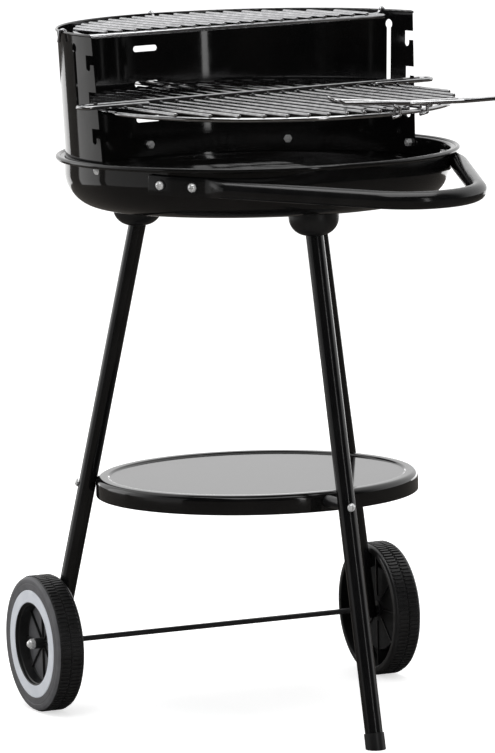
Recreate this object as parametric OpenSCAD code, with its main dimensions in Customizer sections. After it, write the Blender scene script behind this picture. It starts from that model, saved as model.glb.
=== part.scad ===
// Open round charcoal grill on a wheeled tripod stand.
// Millimetres, +Z up, floor at z = 0, bowl axis on x = y = 0, wheel axle along X, front leg on -Y.

/* [Bowl] */
// Outside radius of the bowl's side wall
bowl_r = 209; // [200:1:216]
// Height of the top of the rolled rim above the floor
rim_z = 617.5; // [590:0.5:650]
// Depth of the bowl from rim to underside
bowl_depth = 57; // [52:0.5:75]
// Sheet thickness of the bowl
bowl_wall = 1.2; // [0.8:0.1:2]
// Radius of the rounded shoulder between floor and wall
bowl_shoulder = 38.5; // [25:0.5:42]
// How far the rim reaches out beyond the wall
rim_reach = 9.5; // [8.5:0.5:14]
// Diameter of the rolled bead at the rim
bead_d = 5.5; // [4:0.5:7]
// Turn of the bowl and its fittings on the stand, anticlockwise from above
head_turn = 10; // [0:1:20]

/* [Windshield] */
// Height of the top of the windshield above the rim
shield_rise = 136.5; // [120:0.5:160]
// How far the windshield reaches down inside the bowl
shield_lap = 21; // [16:0.5:24]
// Sheet thickness of the windshield
shield_wall = 1; // [0.8:0.1:1.6]
// Radius of the rolled hem along the top edge
hem_r = 1.5; // [1.2:0.1:1.8]
// Outward lean of the windshield above the rim, in degrees
shield_flare = 2.3; // [0:0.1:4]
// Slant of the two free edges from upright
edge_slant = 3; // [0:0.5:5]
// Rounding of the two top corners
corner_r = 4.5; // [2:0.5:8]
// Height between two grate levels
level_pitch = 39; // [34:1:44]
// Width of a notch pocket
pocket_w = 8; // [6.5:0.5:9]
// Depth of a notch pocket below the tooth
tooth_h = 7; // [4:0.5:8]
// Width of the tooth in front of a pocket
tooth_w = 6.8; // [4:0.2:9]
// Height of the notch mouth above the tooth
mouth_h = 10; // [8:0.5:12]
// Length of a slot in the back
back_slot_w = 32; // [28:1:40]
// Height of a slot in the back
back_slot_h = 6.5; // [6:0.1:8]
// Length of the keyhole slots
keyhole_l = 68; // [40:1:80]
// Width of the keyhole slots
keyhole_w = 6.6; // [5:0.2:9]
// Diameter of the round head of a keyhole
keyhole_d = 10.5; // [9.5:0.5:14]
// Distance of a keyhole from the free edge, along the sheet
keyhole_in = 37.5; // [32:0.5:60]
// Distance of a keyhole's top below the top edge
keyhole_drop = 11; // [8:1:20]

/* [Cooking grate] */
// Radius of the grate's ring, to the wire's centre
grate_r = 197; // [190:1:201]
// How far the ring's centre lies in front of the bowl axis
grate_shift = 26; // [22:0.5:36]
// Wire diameter of the ring
ring_d = 5; // [4:0.5:6]
// Wire diameter of the bars, the cross wire and the loops
bar_d = 4.5; // [3.5:0.5:5]
// Distance between two bars
bar_pitch = 20; // [16:1:26]
// Height of the pocket floor that carries the grate
level_z = 675.5; // [668:0.5:684]
// How far the grate's front hangs below level, in degrees
grate_droop = 0.9; // [0:0.1:2]
// How far the side loops stand out beyond the windshield
loop_reach = 24; // [16:1:30]
// Width of a side loop, wire centre to wire centre
loop_w = 20; // [18:1:26]
// Wire diameter of the back hook
hook_d = 4; // [3:0.5:4.5]
// Width of the back hook, wire centre to wire centre
hook_w = 20; // [16:1:22]

/* [Grate handle] */
// Wire diameter of the grate handle
lifter_d = 4.5; // [3.5:0.5:5]
// Distance between the two prongs at their tips
prong_gap = 30; // [22:1:40]
// Length of the prongs behind the ring
prong_l = 82; // [50:1:90]
// Length of the handle outside the ring
lifter_reach = 122; // [90:1:150]
// Rise of the outside part, in degrees
lifter_rise = 1; // [0:0.5:12]

/* [Warming rack] */
// Distance between the rack's back arc and the windshield
rack_gap = 18.2; // [14:0.2:26]
// How far the straight front wire lies behind the bowl axis
rack_front = 33; // [20:1:60]
// Distance between two rack bars
rack_pitch = 18.6; // [14:0.2:24]
// Wire diameter of the rack bars and hooks
rack_bar_d = 4; // [3:0.5:4.5]
// How far the frame hangs below the windshield's top edge
rack_drop = 6; // [5.5:0.5:12]
// Angle from the front wire's line to each side hook
rack_hook_angle = 16.5; // [12:0.5:30]
// How far the rack hangs turned inside the windshield
rack_turn = -3; // [-4:0.5:4]

/* [Push handle] */
// Diameter of the handle tube
handle_d = 19; // [16:0.5:20]
// Wall of the handle tube
handle_wall = 1.2; // [1:0.1:2]
// Bend radius of the front of the handle
handle_bend = 78; // [60:1:100]
// Angle between the bowl's centre line and each handle side
handle_spread = 32; // [28:0.5:38]
// Turn of the handle against the windshield, anticlockwise from above
handle_turn = 1; // [-2:0.5:4]
// Height of the handle's bolts below the rim
handle_drop = 18; // [17:0.5:24]
// Downward slope of the handle towards the front, in degrees
handle_droop = 3.5; // [0:0.5:6]
// Sideways lean of the handle, in degrees
handle_lean = 0.7; // [0:0.1:1]
// Thickness of the flattened ends
flat_t = 4; // [3:0.5:6]
// Height of the flattened ends
flat_h = 21; // [18:0.5:22]

/* [Stand] */
// Diameter of the leg tubes
leg_d = 19; // [16:0.5:22]
// Wall of the leg tubes
leg_wall = 1.2; // [1:0.1:2]
// Lean of the legs from upright
leg_splay = 12.6; // [10:0.1:14]
// Direction of the rear legs, from the axle line
rear_angle = 36.7; // [32:0.1:42]
// How far the legs stand in from the bowl's wall at the bottom of their sockets
leg_inset = 74.5; // [64:0.1:84]
// Diameter of the leg sockets
socket_d = 54; // [48:1:60]
// Height of the leg sockets
socket_h = 25.5; // [22:0.5:32]
// Rounding at the bottom of the sockets
socket_round = 20; // [8:0.5:22]
// Outside diameter of the front foot
foot_d = 21.5; // [21.5:0.5:28]
// Height of the front foot
foot_h = 17; // [12:1:30]
// Thickness of the sole under the front leg
sole_t = 3; // [2:0.5:6]

/* [Shelf] */
// Length of the spacer that holds the shelf off the front leg
spacer_l = 34.79; // [24:0.1:50]
// Height of the shelf's rim above the floor
shelf_z = 261.5; // [220:0.5:300]
// Height of the shelf's skirt
shelf_h = 20.5; // [16:0.5:30]
// Sheet thickness of the shelf
shelf_wall = 1; // [0.8:0.1:1.6]
// Rounding of the shelf's outer edge
shelf_round = 6; // [4:0.5:7]
// Width of the raised rim around the tray
shelf_rim = 14; // [10:0.5:24]
// Depth of the tray below the rim
shelf_dish = 2; // [1.5:0.5:4]

/* [Wheels] */
// Wheel diameter
wheel_d = 150; // [130:1:170]
// Wheel width
wheel_w = 31.5; // [28:0.5:36]
// Thickness of the tread ring
tread_t = 9; // [6:0.5:12]
// Depth of the recess in the outer face
recess_depth = 15; // [12:0.2:17]
// Radius of the recess
recess_r = 44.5; // [38:0.5:50]
// Thickness of the wheel's web and side wall
web_t = 2.4; // [2:0.2:3]
// Outside radius of the trim ring
trim_r = 59.4; // [54:0.2:62]
// Number of ribs on each face
rib_count = 8; // [6:1:12]
// Diameter of the axle
axle_d = 6; // [5:0.5:8]

/* [Hardware] */
// Diameter of the small bolts
bolt_d = 5; // [4:0.5:5]
// Head diameter of the small bolts
head_d = 9; // [8:0.5:9]
// Width across the flats of the small nuts
nut_flats = 8; // [7:0.5:9]

/* [Hidden] */
// Free play between a shaft and its bore
run_gap = 0.08;
// Gap between pieces that only rest on each other
seat_gap = 0.3;
// Gap between pieces that are bolted together
fit_gap = 0.1;
// How deep welded wires sink into each other
weld = 0.8;
head_h = 3.4;
nut_h = 4;
thread_over = 1.5;
FAR = 300;
$fn = 96;

// Bowl
bowl_z = rim_z - bowl_depth;
bowl_in = bowl_r - bowl_wall;
bead_r = bead_d / 2;
bead_c = bowl_r + rim_reach - bead_r;
shoulder_c = bowl_r - bowl_shoulder;

// Windshield
shield_top = rim_z + shield_rise;
shield_out = bowl_in - fit_gap;
shield_in = shield_out - shield_wall;
shield_bot = rim_z - shield_lap;
shield_bolt_z = rim_z - bead_r - head_d / 2 - 1.2;
shield_bolt_angles = [0.5, 45, 90, 135, 179.5];
// Inside radius of the windshield at a height
function shield_r(z) = shield_in + max(0, z - rim_z) * tan(shield_flare);
hem_z = shield_top - hem_r;
hem_c = shield_r(hem_z) + hem_r;
function edge_y(z) = -(shield_top - z) * tan(edge_slant);

// Cooking grate: its own frame starts at the cross wire, where it rests in the pockets
notch_h = mouth_h + tooth_h;
cross_z = level_z + bar_d / 2 + seat_gap;
cross_y = edge_y(level_z) + tooth_w + pocket_w / 2;
bars_local_z = -bar_d + weld;
ring_local_z = bars_local_z - (bar_d + ring_d) / 2 + weld;
ring_local_y = -grate_shift - cross_y;
bar_side = floor((grate_r - bar_pitch / 2) / bar_pitch);
hook_z = cross_z + bars_local_z + (shield_r(cross_z) - cross_y) * tan(grate_droop);
slot_z = hook_z + hook_d / 2 + seat_gap - back_slot_h / 2;
hook_over = 5;

// Grate handle: where it crosses the ring and which way it points, in the bowl's own frame
lifter_angle = -78;
lifter_heading = -17;
tip_rise = 9;
lifter_neck = 58;
lifter_z = bars_local_z + (bar_d + lifter_d) / 2 + fit_gap;
eye_r = 9;
eye_x = lifter_reach - eye_r;
pinch = lifter_d / 2 + 0.4;
prong_mid = prong_gap * 0.38;
clip_skew = 90 + lifter_angle - lifter_heading;
clip_d = lifter_d - 1;
clip_r = (ring_d + clip_d) / 2 + fit_gap;
ring_under = ring_local_z - lifter_z;

// Warming rack
rack_z = shield_top - rack_drop;
rack_r = shield_r(rack_z) - rack_gap;
rack_frame_d = bar_d + 0.5;
rack_half = sqrt(pow(rack_r, 2) - pow(rack_front, 2));
rack_side = floor((rack_half - rack_pitch / 2) / rack_pitch);
rack_arch_r = hem_r + seat_gap + 0.7 + rack_bar_d / 2;
rack_arch_z = shield_top + seat_gap - rack_arch_r + rack_bar_d / 2;
rack_tail = 10;

// Push handle
handle_z = rim_z - handle_drop;
tangent_angle = 180 + handle_spread;
flat_c = bowl_r + fit_gap + flat_t / 2;
tube_c = flat_c + 2.3;
bend_y = (tube_c - handle_bend) / sin(handle_spread);
straight_l = bend_y * cos(handle_spread);
attach_y = flat_c * sin(handle_spread);
flat_start = tangent_angle - 11.5;
flat_end = tangent_angle + 6;
blend_run = 50;
handle_bolt_angles = [tangent_angle - 7.5, tangent_angle + 2.5];
washer_t = 1;
vent_d = 3;

// Stand
socket_z = bowl_z - socket_h;
leg_line_z = socket_z + 4;
leg_top_r = bowl_r - leg_inset;
leg_in = 13;
leg_angles = [-90, rear_angle, 180 - rear_angle];
leg_len = leg_line_z / cos(leg_splay);
tube_reach = leg_d / 2 / cos(leg_splay);
function leg_r(z) = leg_top_r + (leg_line_z - z) * tan(leg_splay);
socket_screw_d = 5;
socket_nut_flats = 8;
socket_nut_h = 4.7;
socket_web = 4.5;

// Shelf: it seats against both rear legs, and the spacer holds it off the front leg
shelf_bolt_z = shelf_z - shelf_round - 3.5;
shelf_leg_r = leg_r(shelf_z - shelf_round);
front_seat_y = spacer_l + fit_gap - leg_r(shelf_bolt_z);
rear_seat_y = shelf_leg_r * sin(rear_angle);
shelf_y = (pow(shelf_leg_r, 2) - pow(front_seat_y, 2)) / (2 * (rear_seat_y - front_seat_y));
shelf_r = shelf_y - front_seat_y - tube_reach - fit_gap;
spacer_d = 13;
// Distance and direction of each leg from the shelf's centre, at the bolts' height
function leg_xy(a) = leg_r(shelf_bolt_z) * [cos(a), sin(a)];
function shelf_dist(a) = norm(leg_xy(a) - [0, shelf_y]);
function shelf_dir(a) = atan2(leg_xy(a)[1] - shelf_y, leg_xy(a)[0]);

// Wheels
axle_z = wheel_d / 2;
axle_y = leg_r(axle_z) * sin(rear_angle);
leg_end_z = axle_z - axle_d / 2 - 6;
axle_washer_r = 8;
axle_washer_t = 1;
leg_side = leg_r(axle_z - axle_washer_r) * cos(rear_angle) + tube_reach;
web_x = leg_side + axle_washer_t + 2 * seat_gap;
face_x = web_x + web_t + recess_depth;
tread_in = wheel_d / 2 - tread_t;
tyre_round = 3;
hub_r = 5.8;
hub_out = 3;
trim_t = 1.5;
trim_sink = 1.2;
trim_in = recess_r + 0.5;
rib_t = 1.3;
rib_h = 3;
cap_flats = 10;
cap_h = 8.5;

// ---------- frames ----------

// Bowl fittings, turned together on the stand
module head_frame() {
    rotate([0, 0, head_turn]) children();
}

// Radial frame: +Z points outwards, +X along the wall, +Y up
module radial(angle, r, z) {
    rotate([0, 0, angle]) translate([r, 0, z]) rotate([90, 0, 90]) children();
}

// Frame of the cooking grate, which hangs a little towards the front
module grate_frame() {
    head_frame() translate([0, cross_y, cross_z]) rotate([grate_droop, 0, 0]) children();
}

// Frame of the push handle, at the height of its bolts
module handle_frame() {
    head_frame() rotate([0, 0, handle_turn]) translate([0, -attach_y, handle_z])
        rotate([handle_droop, -handle_lean, 0]) translate([0, attach_y, 0]) children();
}

// Frame of one leg: +Z runs up along the tube from the bottom of its socket
module leg_frame(angle) {
    rotate([0, 0, angle]) translate([leg_top_r, 0, leg_line_z]) rotate([0, -leg_splay, 0]) children();
}

// ---------- shared shapes ----------

// Round rod between two points
module rod(p, q, d) {
    v = q - p;
    translate(p) rotate([0, acos(v[2] / norm(v)), atan2(v[1], v[0])]) cylinder(h = norm(v), d = d, $fn = 32);
}

// Wire through a list of points, with round corners and ends
module wire(points, d) {
    for (i = [1 : len(points) - 1]) rod(points[i - 1], points[i], d);
    for (p = points) translate(p) sphere(d = d * 1.02, $fn = 32);
}

// Pan head with a cross recess, its seat at z = 0 and pointing along +Z
module pan_head(d, h) {
    ball = (pow(d / 2, 2) + pow(h, 2)) / (2 * h);
    difference() {
        intersection() {
            translate([0, 0, h - ball]) sphere(r = ball);
            cylinder(h = h + 1, d = d);
        }
        for (a = [0, 90]) rotate([0, 0, a]) translate([-d / 4, -0.5, h / 2]) cube([d / 2, 1, h]);
    }
}

// Bolt with its head at z = 0 outwards and its shank reaching inwards
module bolt(d, head, grip) {
    pan_head(head, head_h);
    translate([0, 0, -grip]) cylinder(h = grip + 0.5, d = d);
}

// Hexagon nut, its seat at z = 0 and reaching inwards
module nut(flats, h, d) {
    translate([0, 0, -h]) difference() {
        cylinder(h = h, d = flats / cos(30), $fn = 6);
        translate([0, 0, -1]) cylinder(h = h + 2, d = d + 2 * run_gap);
    }
}

// ---------- bowl ----------

module bowl_section() {
    translate([0, bowl_z]) square([shoulder_c, bowl_wall]);
    translate([bowl_in, bowl_z + bowl_shoulder]) square([bowl_wall, bowl_depth - bowl_shoulder - bead_r]);
    translate([bowl_in, rim_z - bead_r]) square([bead_c - bowl_in, bowl_wall]);
    translate([bead_c, rim_z - bead_r]) circle(d = bead_d, $fn = 48);
    intersection() {
        translate([shoulder_c, bowl_z]) square(bowl_shoulder);
        translate([shoulder_c, bowl_z + bowl_shoulder]) difference() {
            circle(r = bowl_shoulder);
            circle(r = bowl_shoulder - bowl_wall);
        }
    }
}

module bowl() {
    color("#141415") difference() {
        rotate_extrude($fn = 180) bowl_section();
        head_frame() for (a = shield_bolt_angles)
            radial(a, bowl_r, shield_bolt_z) cylinder(h = 12, d = bolt_d + 2 * fit_gap, center = true);
        handle_frame() for (a = handle_bolt_angles, m = [0, 1]) mirror([m, 0, 0])
            radial(a, bowl_r, 0) cylinder(h = 12, d = bolt_d + 2 * fit_gap, center = true);
        for (a = leg_angles) rotate([0, 0, a]) translate([leg_top_r, 0, bowl_z - 1])
            cylinder(h = bowl_wall + 2, d = socket_screw_d + 2 * fit_gap);
    }
}

// ---------- windshield ----------

// Notch for a grate loop: mouth at x = 0, pocket floor at y = 0
module notch_shape() {
    translate([tooth_w, pocket_w / 2]) square([pocket_w, notch_h - pocket_w / 2]);
    translate([tooth_w + pocket_w / 2, pocket_w / 2]) circle(d = pocket_w, $fn = 48);
    translate([-20, tooth_h]) square([20 + tooth_w + 1, mouth_h]);
}

module stadium(w, h) {
    square([w - h, h], center = true);
    for (s = [-1, 1]) translate([s * (w - h) / 2, 0]) circle(d = h, $fn = 48);
}

module keyhole_shape() {
    translate([0, -keyhole_d / 2]) circle(d = keyhole_d, $fn = 48);
    translate([-keyhole_w / 2, -keyhole_l + keyhole_w / 2])
        square([keyhole_w, keyhole_l - keyhole_w / 2 - keyhole_d / 2]);
    translate([0, -keyhole_l + keyhole_w / 2]) circle(d = keyhole_w, $fn = 48);
}

module shield_blank() {
    rotate([0, 0, -10]) rotate_extrude(angle = 200, $fn = 180) {
        polygon([
            [shield_in, shield_bot], [shield_out, shield_bot], [shield_out, rim_z],
            [shield_r(hem_z) + shield_wall, hem_z], [shield_r(hem_z), hem_z], [shield_in, rim_z]
        ]);
        translate([hem_c, hem_z]) circle(r = hem_r, $fn = 32);
    }
}

module windshield() {
    color("#0d0d0e") head_frame() difference() {
        shield_blank();
        // slanted free edges with round top corners
        translate([0, 0, shield_top]) rotate([-edge_slant, 0, 0]) {
            translate([-FAR, -FAR, -FAR]) cube([2 * FAR, FAR, 2 * FAR]);
            translate([0, 0, -corner_r]) rotate([90, 0, 90])
                linear_extrude(2 * FAR, center = true) difference() {
                    translate([-1, 0]) square(corner_r + 1);
                    translate([corner_r, 0]) circle(r = corner_r, $fn = 48);
                }
        }
        for (k = [-1, 0, 1]) {
            z = level_z + k * level_pitch;
            translate([0, edge_y(z), z]) rotate([90, 0, 90])
                linear_extrude(2 * FAR, center = true) notch_shape();
            radial(90, shield_r(slot_z), slot_z + k * level_pitch)
                linear_extrude(12, center = true) stadium(back_slot_w, back_slot_h);
        }
        for (s = [0, 1]) mirror([s, 0, 0])
            radial(keyhole_in / shield_out * 180 / PI, shield_r(level_z), shield_top - keyhole_drop)
                linear_extrude(14, center = true) keyhole_shape();
        for (a = shield_bolt_angles)
            radial(a, shield_in, shield_bolt_z) cylinder(h = 12, d = bolt_d + 2 * fit_gap, center = true);
    }
}

module windshield_bolts() {
    color("silver") head_frame() for (a = shield_bolt_angles)
        radial(a, bowl_r + fit_gap, shield_bolt_z)
            bolt(bolt_d, head_d, bowl_r - shield_in + fit_gap + nut_h + thread_over);
}

module windshield_nuts() {
    color("silver") head_frame() for (a = shield_bolt_angles)
        radial(a, shield_in - fit_gap, shield_bolt_z) nut(nut_flats, nut_h, bolt_d);
}

// ---------- cooking grate ----------

module cooking_grate() {
    color("gainsboro") grate_frame() {
        translate([0, ring_local_y, ring_local_z]) rotate_extrude($fn = 180)
            translate([grate_r, 0]) circle(d = ring_d, $fn = 32);
        for (i = [-bar_side : bar_side]) grate_bar(i * bar_pitch);
        for (s = [-1, 1]) grate_loop(s);
        rod([-loop_c(), 0, 0], [loop_c(), 0, 0], bar_d);
        back_hook();
    }
}

function loop_c() = shield_r(cross_z) + shield_wall + loop_reach - loop_w / 2 - bar_d / 2;

module grate_bar(x) {
    half = sqrt(pow(grate_r, 2) - pow(x, 2)) + 1;
    rod([x, ring_local_y - half, bars_local_z], [x, ring_local_y + half, bars_local_z], bar_d);
}

// Loop that passes out through a notch pocket and back in front of the windshield's edge
module grate_loop(side) {
    root = (bar_side - 1.5) * bar_pitch;
    translate([side * loop_c(), -loop_w / 2, 0]) rotate([0, 0, -90 * side])
        rotate_extrude(angle = 180, $fn = 64) translate([loop_w / 2, 0]) circle(d = bar_d, $fn = 32);
    rod([side * root, -loop_w, 0], [side * loop_c(), -loop_w, 0], bar_d);
}

// Hook that passes through the slot in the back of the windshield
module back_hook() {
    reach = shield_r(hook_z) + shield_wall - cross_y + hook_over;
    start = ring_local_y + grate_r - 22;
    for (x = [-hook_w / 2, hook_w / 2]) rod([x, start, bars_local_z], [x, reach, bars_local_z], hook_d);
    translate([0, reach, bars_local_z]) rotate_extrude(angle = 180, $fn = 64)
        translate([hook_w / 2, 0]) circle(d = hook_d, $fn = 32);
}

// ---------- grate handle ----------

module grate_handle() {
    color("gainsboro") grate_frame()
        translate([grate_r * cos(lifter_angle), ring_local_y + grate_r * sin(lifter_angle), lifter_z])
            rotate([0, 0, lifter_heading]) {
                for (s = [-1, 1]) {
                    wire([
                        [-prong_l - 3, s * (prong_gap / 2 + 2), tip_rise],
                        [-prong_l, s * prong_gap / 2, 0],
                        [0, s * prong_mid, 0],
                        [lifter_neck, s * pinch, lifter_neck * tan(lifter_rise)]
                    ], lifter_d);
                    rod([lifter_neck, s * pinch, lifter_neck * tan(lifter_rise)],
                        [eye_x - eye_r, s * pinch, (eye_x - eye_r) * tan(lifter_rise)], lifter_d);
                    translate([clip_x(s), s * prong_y(clip_x(s)), 0]) lifter_clip();
                }
                translate([eye_x, 0, eye_x * tan(lifter_rise)]) rotate([0, -lifter_rise, 0])
                    rotate_extrude($fn = 64) translate([eye_r, 0]) circle(d = lifter_d + 0.4, $fn = 32);
            }
}

// Distance of a prong from the middle, near the ring
function prong_slope(x) = x < 0 ? (prong_mid - prong_gap / 2) / prong_l : (pinch - prong_mid) / lifter_neck;
function prong_y(x) = prong_mid + x * prong_slope(x);
// Where the ring passes under a prong
function clip_x(s) = prong_mid / (s * tan(clip_skew) - prong_slope(s));

// Wire from a prong down around the outside of the ring
module lifter_clip() {
    side = clip_r / sin(clip_skew) + 1;
    under = ring_under - clip_r;
    rod([1, 0, 0], [side + 1.5, 0, 0], clip_d);
    rod([side, 0, 1.5], [side, 0, under - 1.5], clip_d + 0.2);
    rod([side + 1.5, 0, under], [-1, 0, under], clip_d);
}

// ---------- warming rack ----------

module warming_rack() {
    corner = atan2(rack_front, rack_half);
    color("gainsboro") head_frame() rotate([0, 0, rack_turn]) {
        rotate([0, 0, corner]) rotate_extrude(angle = 180 - 2 * corner, $fn = 180)
            translate([rack_r, rack_z]) circle(d = rack_frame_d, $fn = 32);
        rod([-rack_half - 1, rack_front, rack_z], [rack_half + 1, rack_front, rack_z], rack_frame_d + 0.5);
        for (i = [-rack_side : rack_side]) rack_bar(i * rack_pitch);
        for (a = [rack_hook_angle, 90, 180 - rack_hook_angle]) rotate([0, 0, a]) rack_hook();
    }
}

module rack_bar(x) {
    z = rack_z + (rack_frame_d + rack_bar_d) / 2 - weld;
    rod([x, rack_front - 1, z], [x, sqrt(pow(rack_r, 2) - pow(x, 2)) + 1, z], rack_bar_d);
}

// Hook over the top edge of the windshield
module rack_hook() {
    inside = hem_c - rack_arch_r;
    outside = hem_c + rack_arch_r;
    wire([[rack_r, 0, rack_z], [inside, 0, rack_z]], rack_bar_d);
    rod([inside, 0, rack_z], [inside, 0, rack_arch_z], rack_bar_d);
    translate([hem_c, 0, rack_arch_z]) rotate([90, 0, 0]) rotate_extrude(angle = 180, $fn = 64)
        translate([rack_arch_r, 0]) circle(d = rack_bar_d, $fn = 32);
    rod([outside, 0, rack_arch_z], [outside, 0, rack_arch_z - rack_tail], rack_bar_d);
}

// ---------- push handle ----------

// Flattened end, wrapped along the wall, and its change to the round tube
module handle_end() {
    difference() {
        rotate([0, 0, flat_start]) rotate_extrude(angle = flat_end - flat_start, $fn = 180)
            translate([flat_c - flat_t / 2, -flat_h / 2]) square([flat_t, flat_h]);
        for (a = handle_bolt_angles) radial(a, flat_c, 0)
            cylinder(h = flat_t + 4, d = bolt_d + 2 * fit_gap, center = true);
    }
    hull() {
        rotate([0, 0, flat_end]) translate([flat_c - flat_t / 2 + 0.05, -1.5, 0.05 - flat_h / 2])
            cube([flat_t - 0.1, 1.4, flat_h - 0.1]);
        rotate([0, 0, tangent_angle]) translate([tube_c, blend_run, 0]) rotate([-90, 0, 0])
            cylinder(h = 1, d = handle_d - 0.1, $fn = 48);
    }
}

// Straight sides and front bend of the handle, at a tube diameter; a ball closes each joint
module handle_core(d, start) {
    for (m = [0, 1]) mirror([m, 0, 0]) rotate([0, 0, tangent_angle]) translate([tube_c, start, 0]) {
        rotate([-90, 0, 0]) cylinder(h = straight_l - start - 0.5, d = d);
        translate([0, straight_l - start, 0]) sphere(d = d + 0.2);
    }
    translate([0, -bend_y, 0]) rotate([0, 0, tangent_angle])
        rotate_extrude(angle = 180 - 2 * handle_spread, $fn = 96)
            translate([handle_bend, 0]) circle(d = d, $fn = 64);
}

module push_handle() {
    color("#1b1b1c") difference() {
        handle_frame() {
            for (m = [0, 1]) mirror([m, 0, 0]) handle_end();
            difference() {
                handle_core(handle_d, blend_run);
                handle_core(handle_d - 2 * handle_wall, blend_run + 3);
                for (m = [0, 1]) mirror([m, 0, 0]) rotate([0, 0, tangent_angle])
                    translate([tube_c, blend_run + 20, -handle_d]) cylinder(h = handle_d, d = vent_d);
            }
        }
        // clear of the bowl, since the handle slopes
        translate([0, 0, bowl_z]) cylinder(h = bowl_depth, r = bowl_r + fit_gap, $fn = 180);
    }
}

// Places what belongs to each of the four handle bolts, at a distance from the bowl's axis
module at_handle_bolts(r) {
    handle_frame() for (a = handle_bolt_angles, m = [0, 1]) mirror([m, 0, 0]) radial(a, r, 0) children();
}

module handle_bolts() {
    grip = bowl_wall + 2 * fit_gap + flat_t + washer_t + nut_h + thread_over;
    color("silver") at_handle_bolts(flat_c + flat_t / 2 + washer_t + 2 * fit_gap)
        bolt(bolt_d, head_d + 0.5, grip);
}

module handle_washers() {
    color("#101010") at_handle_bolts(flat_c + flat_t / 2 + fit_gap) difference() {
        cylinder(h = washer_t, d = head_d + 3.5);
        translate([0, 0, -1]) cylinder(h = washer_t + 2, d = bolt_d + 2 * run_gap);
    }
}

module handle_nuts() {
    color("silver") at_handle_bolts(bowl_in - 3 * fit_gap) nut(nut_flats, nut_h, bolt_d);
}

// ---------- stand ----------

module socket(angle) {
    color("#161617") difference() {
        rotate([0, 0, angle]) translate([leg_top_r, 0, socket_z]) rotate_extrude() socket_section();
        leg_frame(angle) translate([0, 0, -socket_h])
            cylinder(h = socket_h + leg_in + seat_gap, d = leg_d + 2 * fit_gap);
        rotate([0, 0, angle]) translate([leg_top_r, 0, bowl_z - socket_web - socket_nut_h])
            cylinder(h = socket_nut_h, d = (socket_nut_flats + 2 * fit_gap) / cos(30), $fn = 6);
        rotate([0, 0, angle]) translate([leg_top_r, 0, socket_z])
            cylinder(h = socket_h + 1, d = socket_screw_d + 2 * fit_gap);
    }
}

module socket_section() {
    square([socket_d / 2 - socket_round, socket_h - fit_gap]);
    translate([0, socket_round]) square([socket_d / 2, socket_h - fit_gap - socket_round]);
    intersection() {
        translate([socket_d / 2 - socket_round, socket_round]) circle(r = socket_round);
        square([socket_d / 2, socket_round]);
    }
}

module socket_bolts() {
    color("silver") for (a = leg_angles) rotate([0, 0, a])
        translate([leg_top_r, 0, bowl_z + bowl_wall + fit_gap])
            bolt(socket_screw_d, head_d, bowl_wall + 2 * fit_gap + socket_web + socket_nut_h);
}

module socket_nuts() {
    color("silver") for (a = leg_angles) rotate([0, 0, a])
        translate([leg_top_r, 0, bowl_z - socket_web - fit_gap])
            nut(socket_nut_flats, socket_nut_h - 2 * fit_gap, socket_screw_d);
}

// Leg tube, cut level at the given height
module leg_tube(angle, cut_z) {
    difference() {
        leg_frame(angle) difference() {
            translate([0, 0, -leg_len - leg_d]) cylinder(h = leg_len + leg_d + leg_in, d = leg_d);
            translate([0, 0, -leg_len - leg_d - 1])
                cylinder(h = leg_len + leg_d + leg_in + 2, d = leg_d - 2 * leg_wall);
        }
        translate([-2 * FAR, -2 * FAR, cut_z - 2 * FAR]) cube([4 * FAR, 4 * FAR, 2 * FAR]);
        translate([0, shelf_y, shelf_bolt_z]) rotate([0, 0, shelf_dir(angle)]) rotate([0, 90, 0])
            cylinder(h = FAR, d = bolt_d + 2 * fit_gap);
    }
}

module leg_front() {
    color("#111112") leg_tube(leg_angles[0], sole_t);
}

module rear_leg(angle) {
    color("#111112") difference() {
        leg_tube(angle, leg_end_z);
        translate([-FAR, axle_y, axle_z]) rotate([0, 90, 0]) cylinder(h = 2 * FAR, d = axle_d + 2 * fit_gap);
    }
}

module front_foot() {
    color("#161617") difference() {
        leg_frame(leg_angles[0]) translate([0, 0, -leg_len - foot_d / 2])
            cylinder(h = foot_h + foot_d / 2, d = foot_d);
        translate([-FAR, -2 * FAR, -FAR]) cube([2 * FAR, 2 * FAR, FAR]);
        difference() {
            leg_frame(leg_angles[0]) translate([0, 0, -leg_len - foot_d])
                cylinder(h = 2 * foot_d + foot_h, d = leg_d + 2 * fit_gap);
            translate([-FAR, -2 * FAR, sole_t - fit_gap - FAR]) cube([2 * FAR, 2 * FAR, FAR]);
        }
    }
}

// ---------- shelf ----------

module shelf_section() {
    dish_r = shelf_r - shelf_rim;
    in_round = shelf_round - shelf_wall;
    skirt_z = shelf_z - shelf_h;
    translate([0, shelf_z - shelf_dish - shelf_wall]) square([dish_r, shelf_wall]);
    translate([dish_r - shelf_wall, shelf_z - shelf_dish - shelf_wall])
        square([shelf_wall, shelf_dish + shelf_wall]);
    translate([dish_r - shelf_wall, shelf_z - shelf_wall])
        square([shelf_rim + shelf_wall - shelf_round, shelf_wall]);
    translate([shelf_r - shelf_wall, skirt_z]) square([shelf_wall, shelf_h - shelf_round]);
    intersection() {
        translate([shelf_r - shelf_round, shelf_z - shelf_round]) difference() {
            circle(r = shelf_round, $fn = 64);
            circle(r = in_round, $fn = 64);
        }
        translate([shelf_r - shelf_round, shelf_z - shelf_round]) square(shelf_round);
    }
}

module shelf() {
    color("#1c1c1e") translate([0, shelf_y, 0]) difference() {
        rotate_extrude($fn = 180) shelf_section();
        for (a = leg_angles) rotate([0, 0, shelf_dir(a)]) translate([shelf_r - shelf_round, 0, shelf_bolt_z])
            rotate([0, 90, 0]) cylinder(h = 2 * shelf_round, d = bolt_d + 2 * fit_gap);
    }
}

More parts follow.
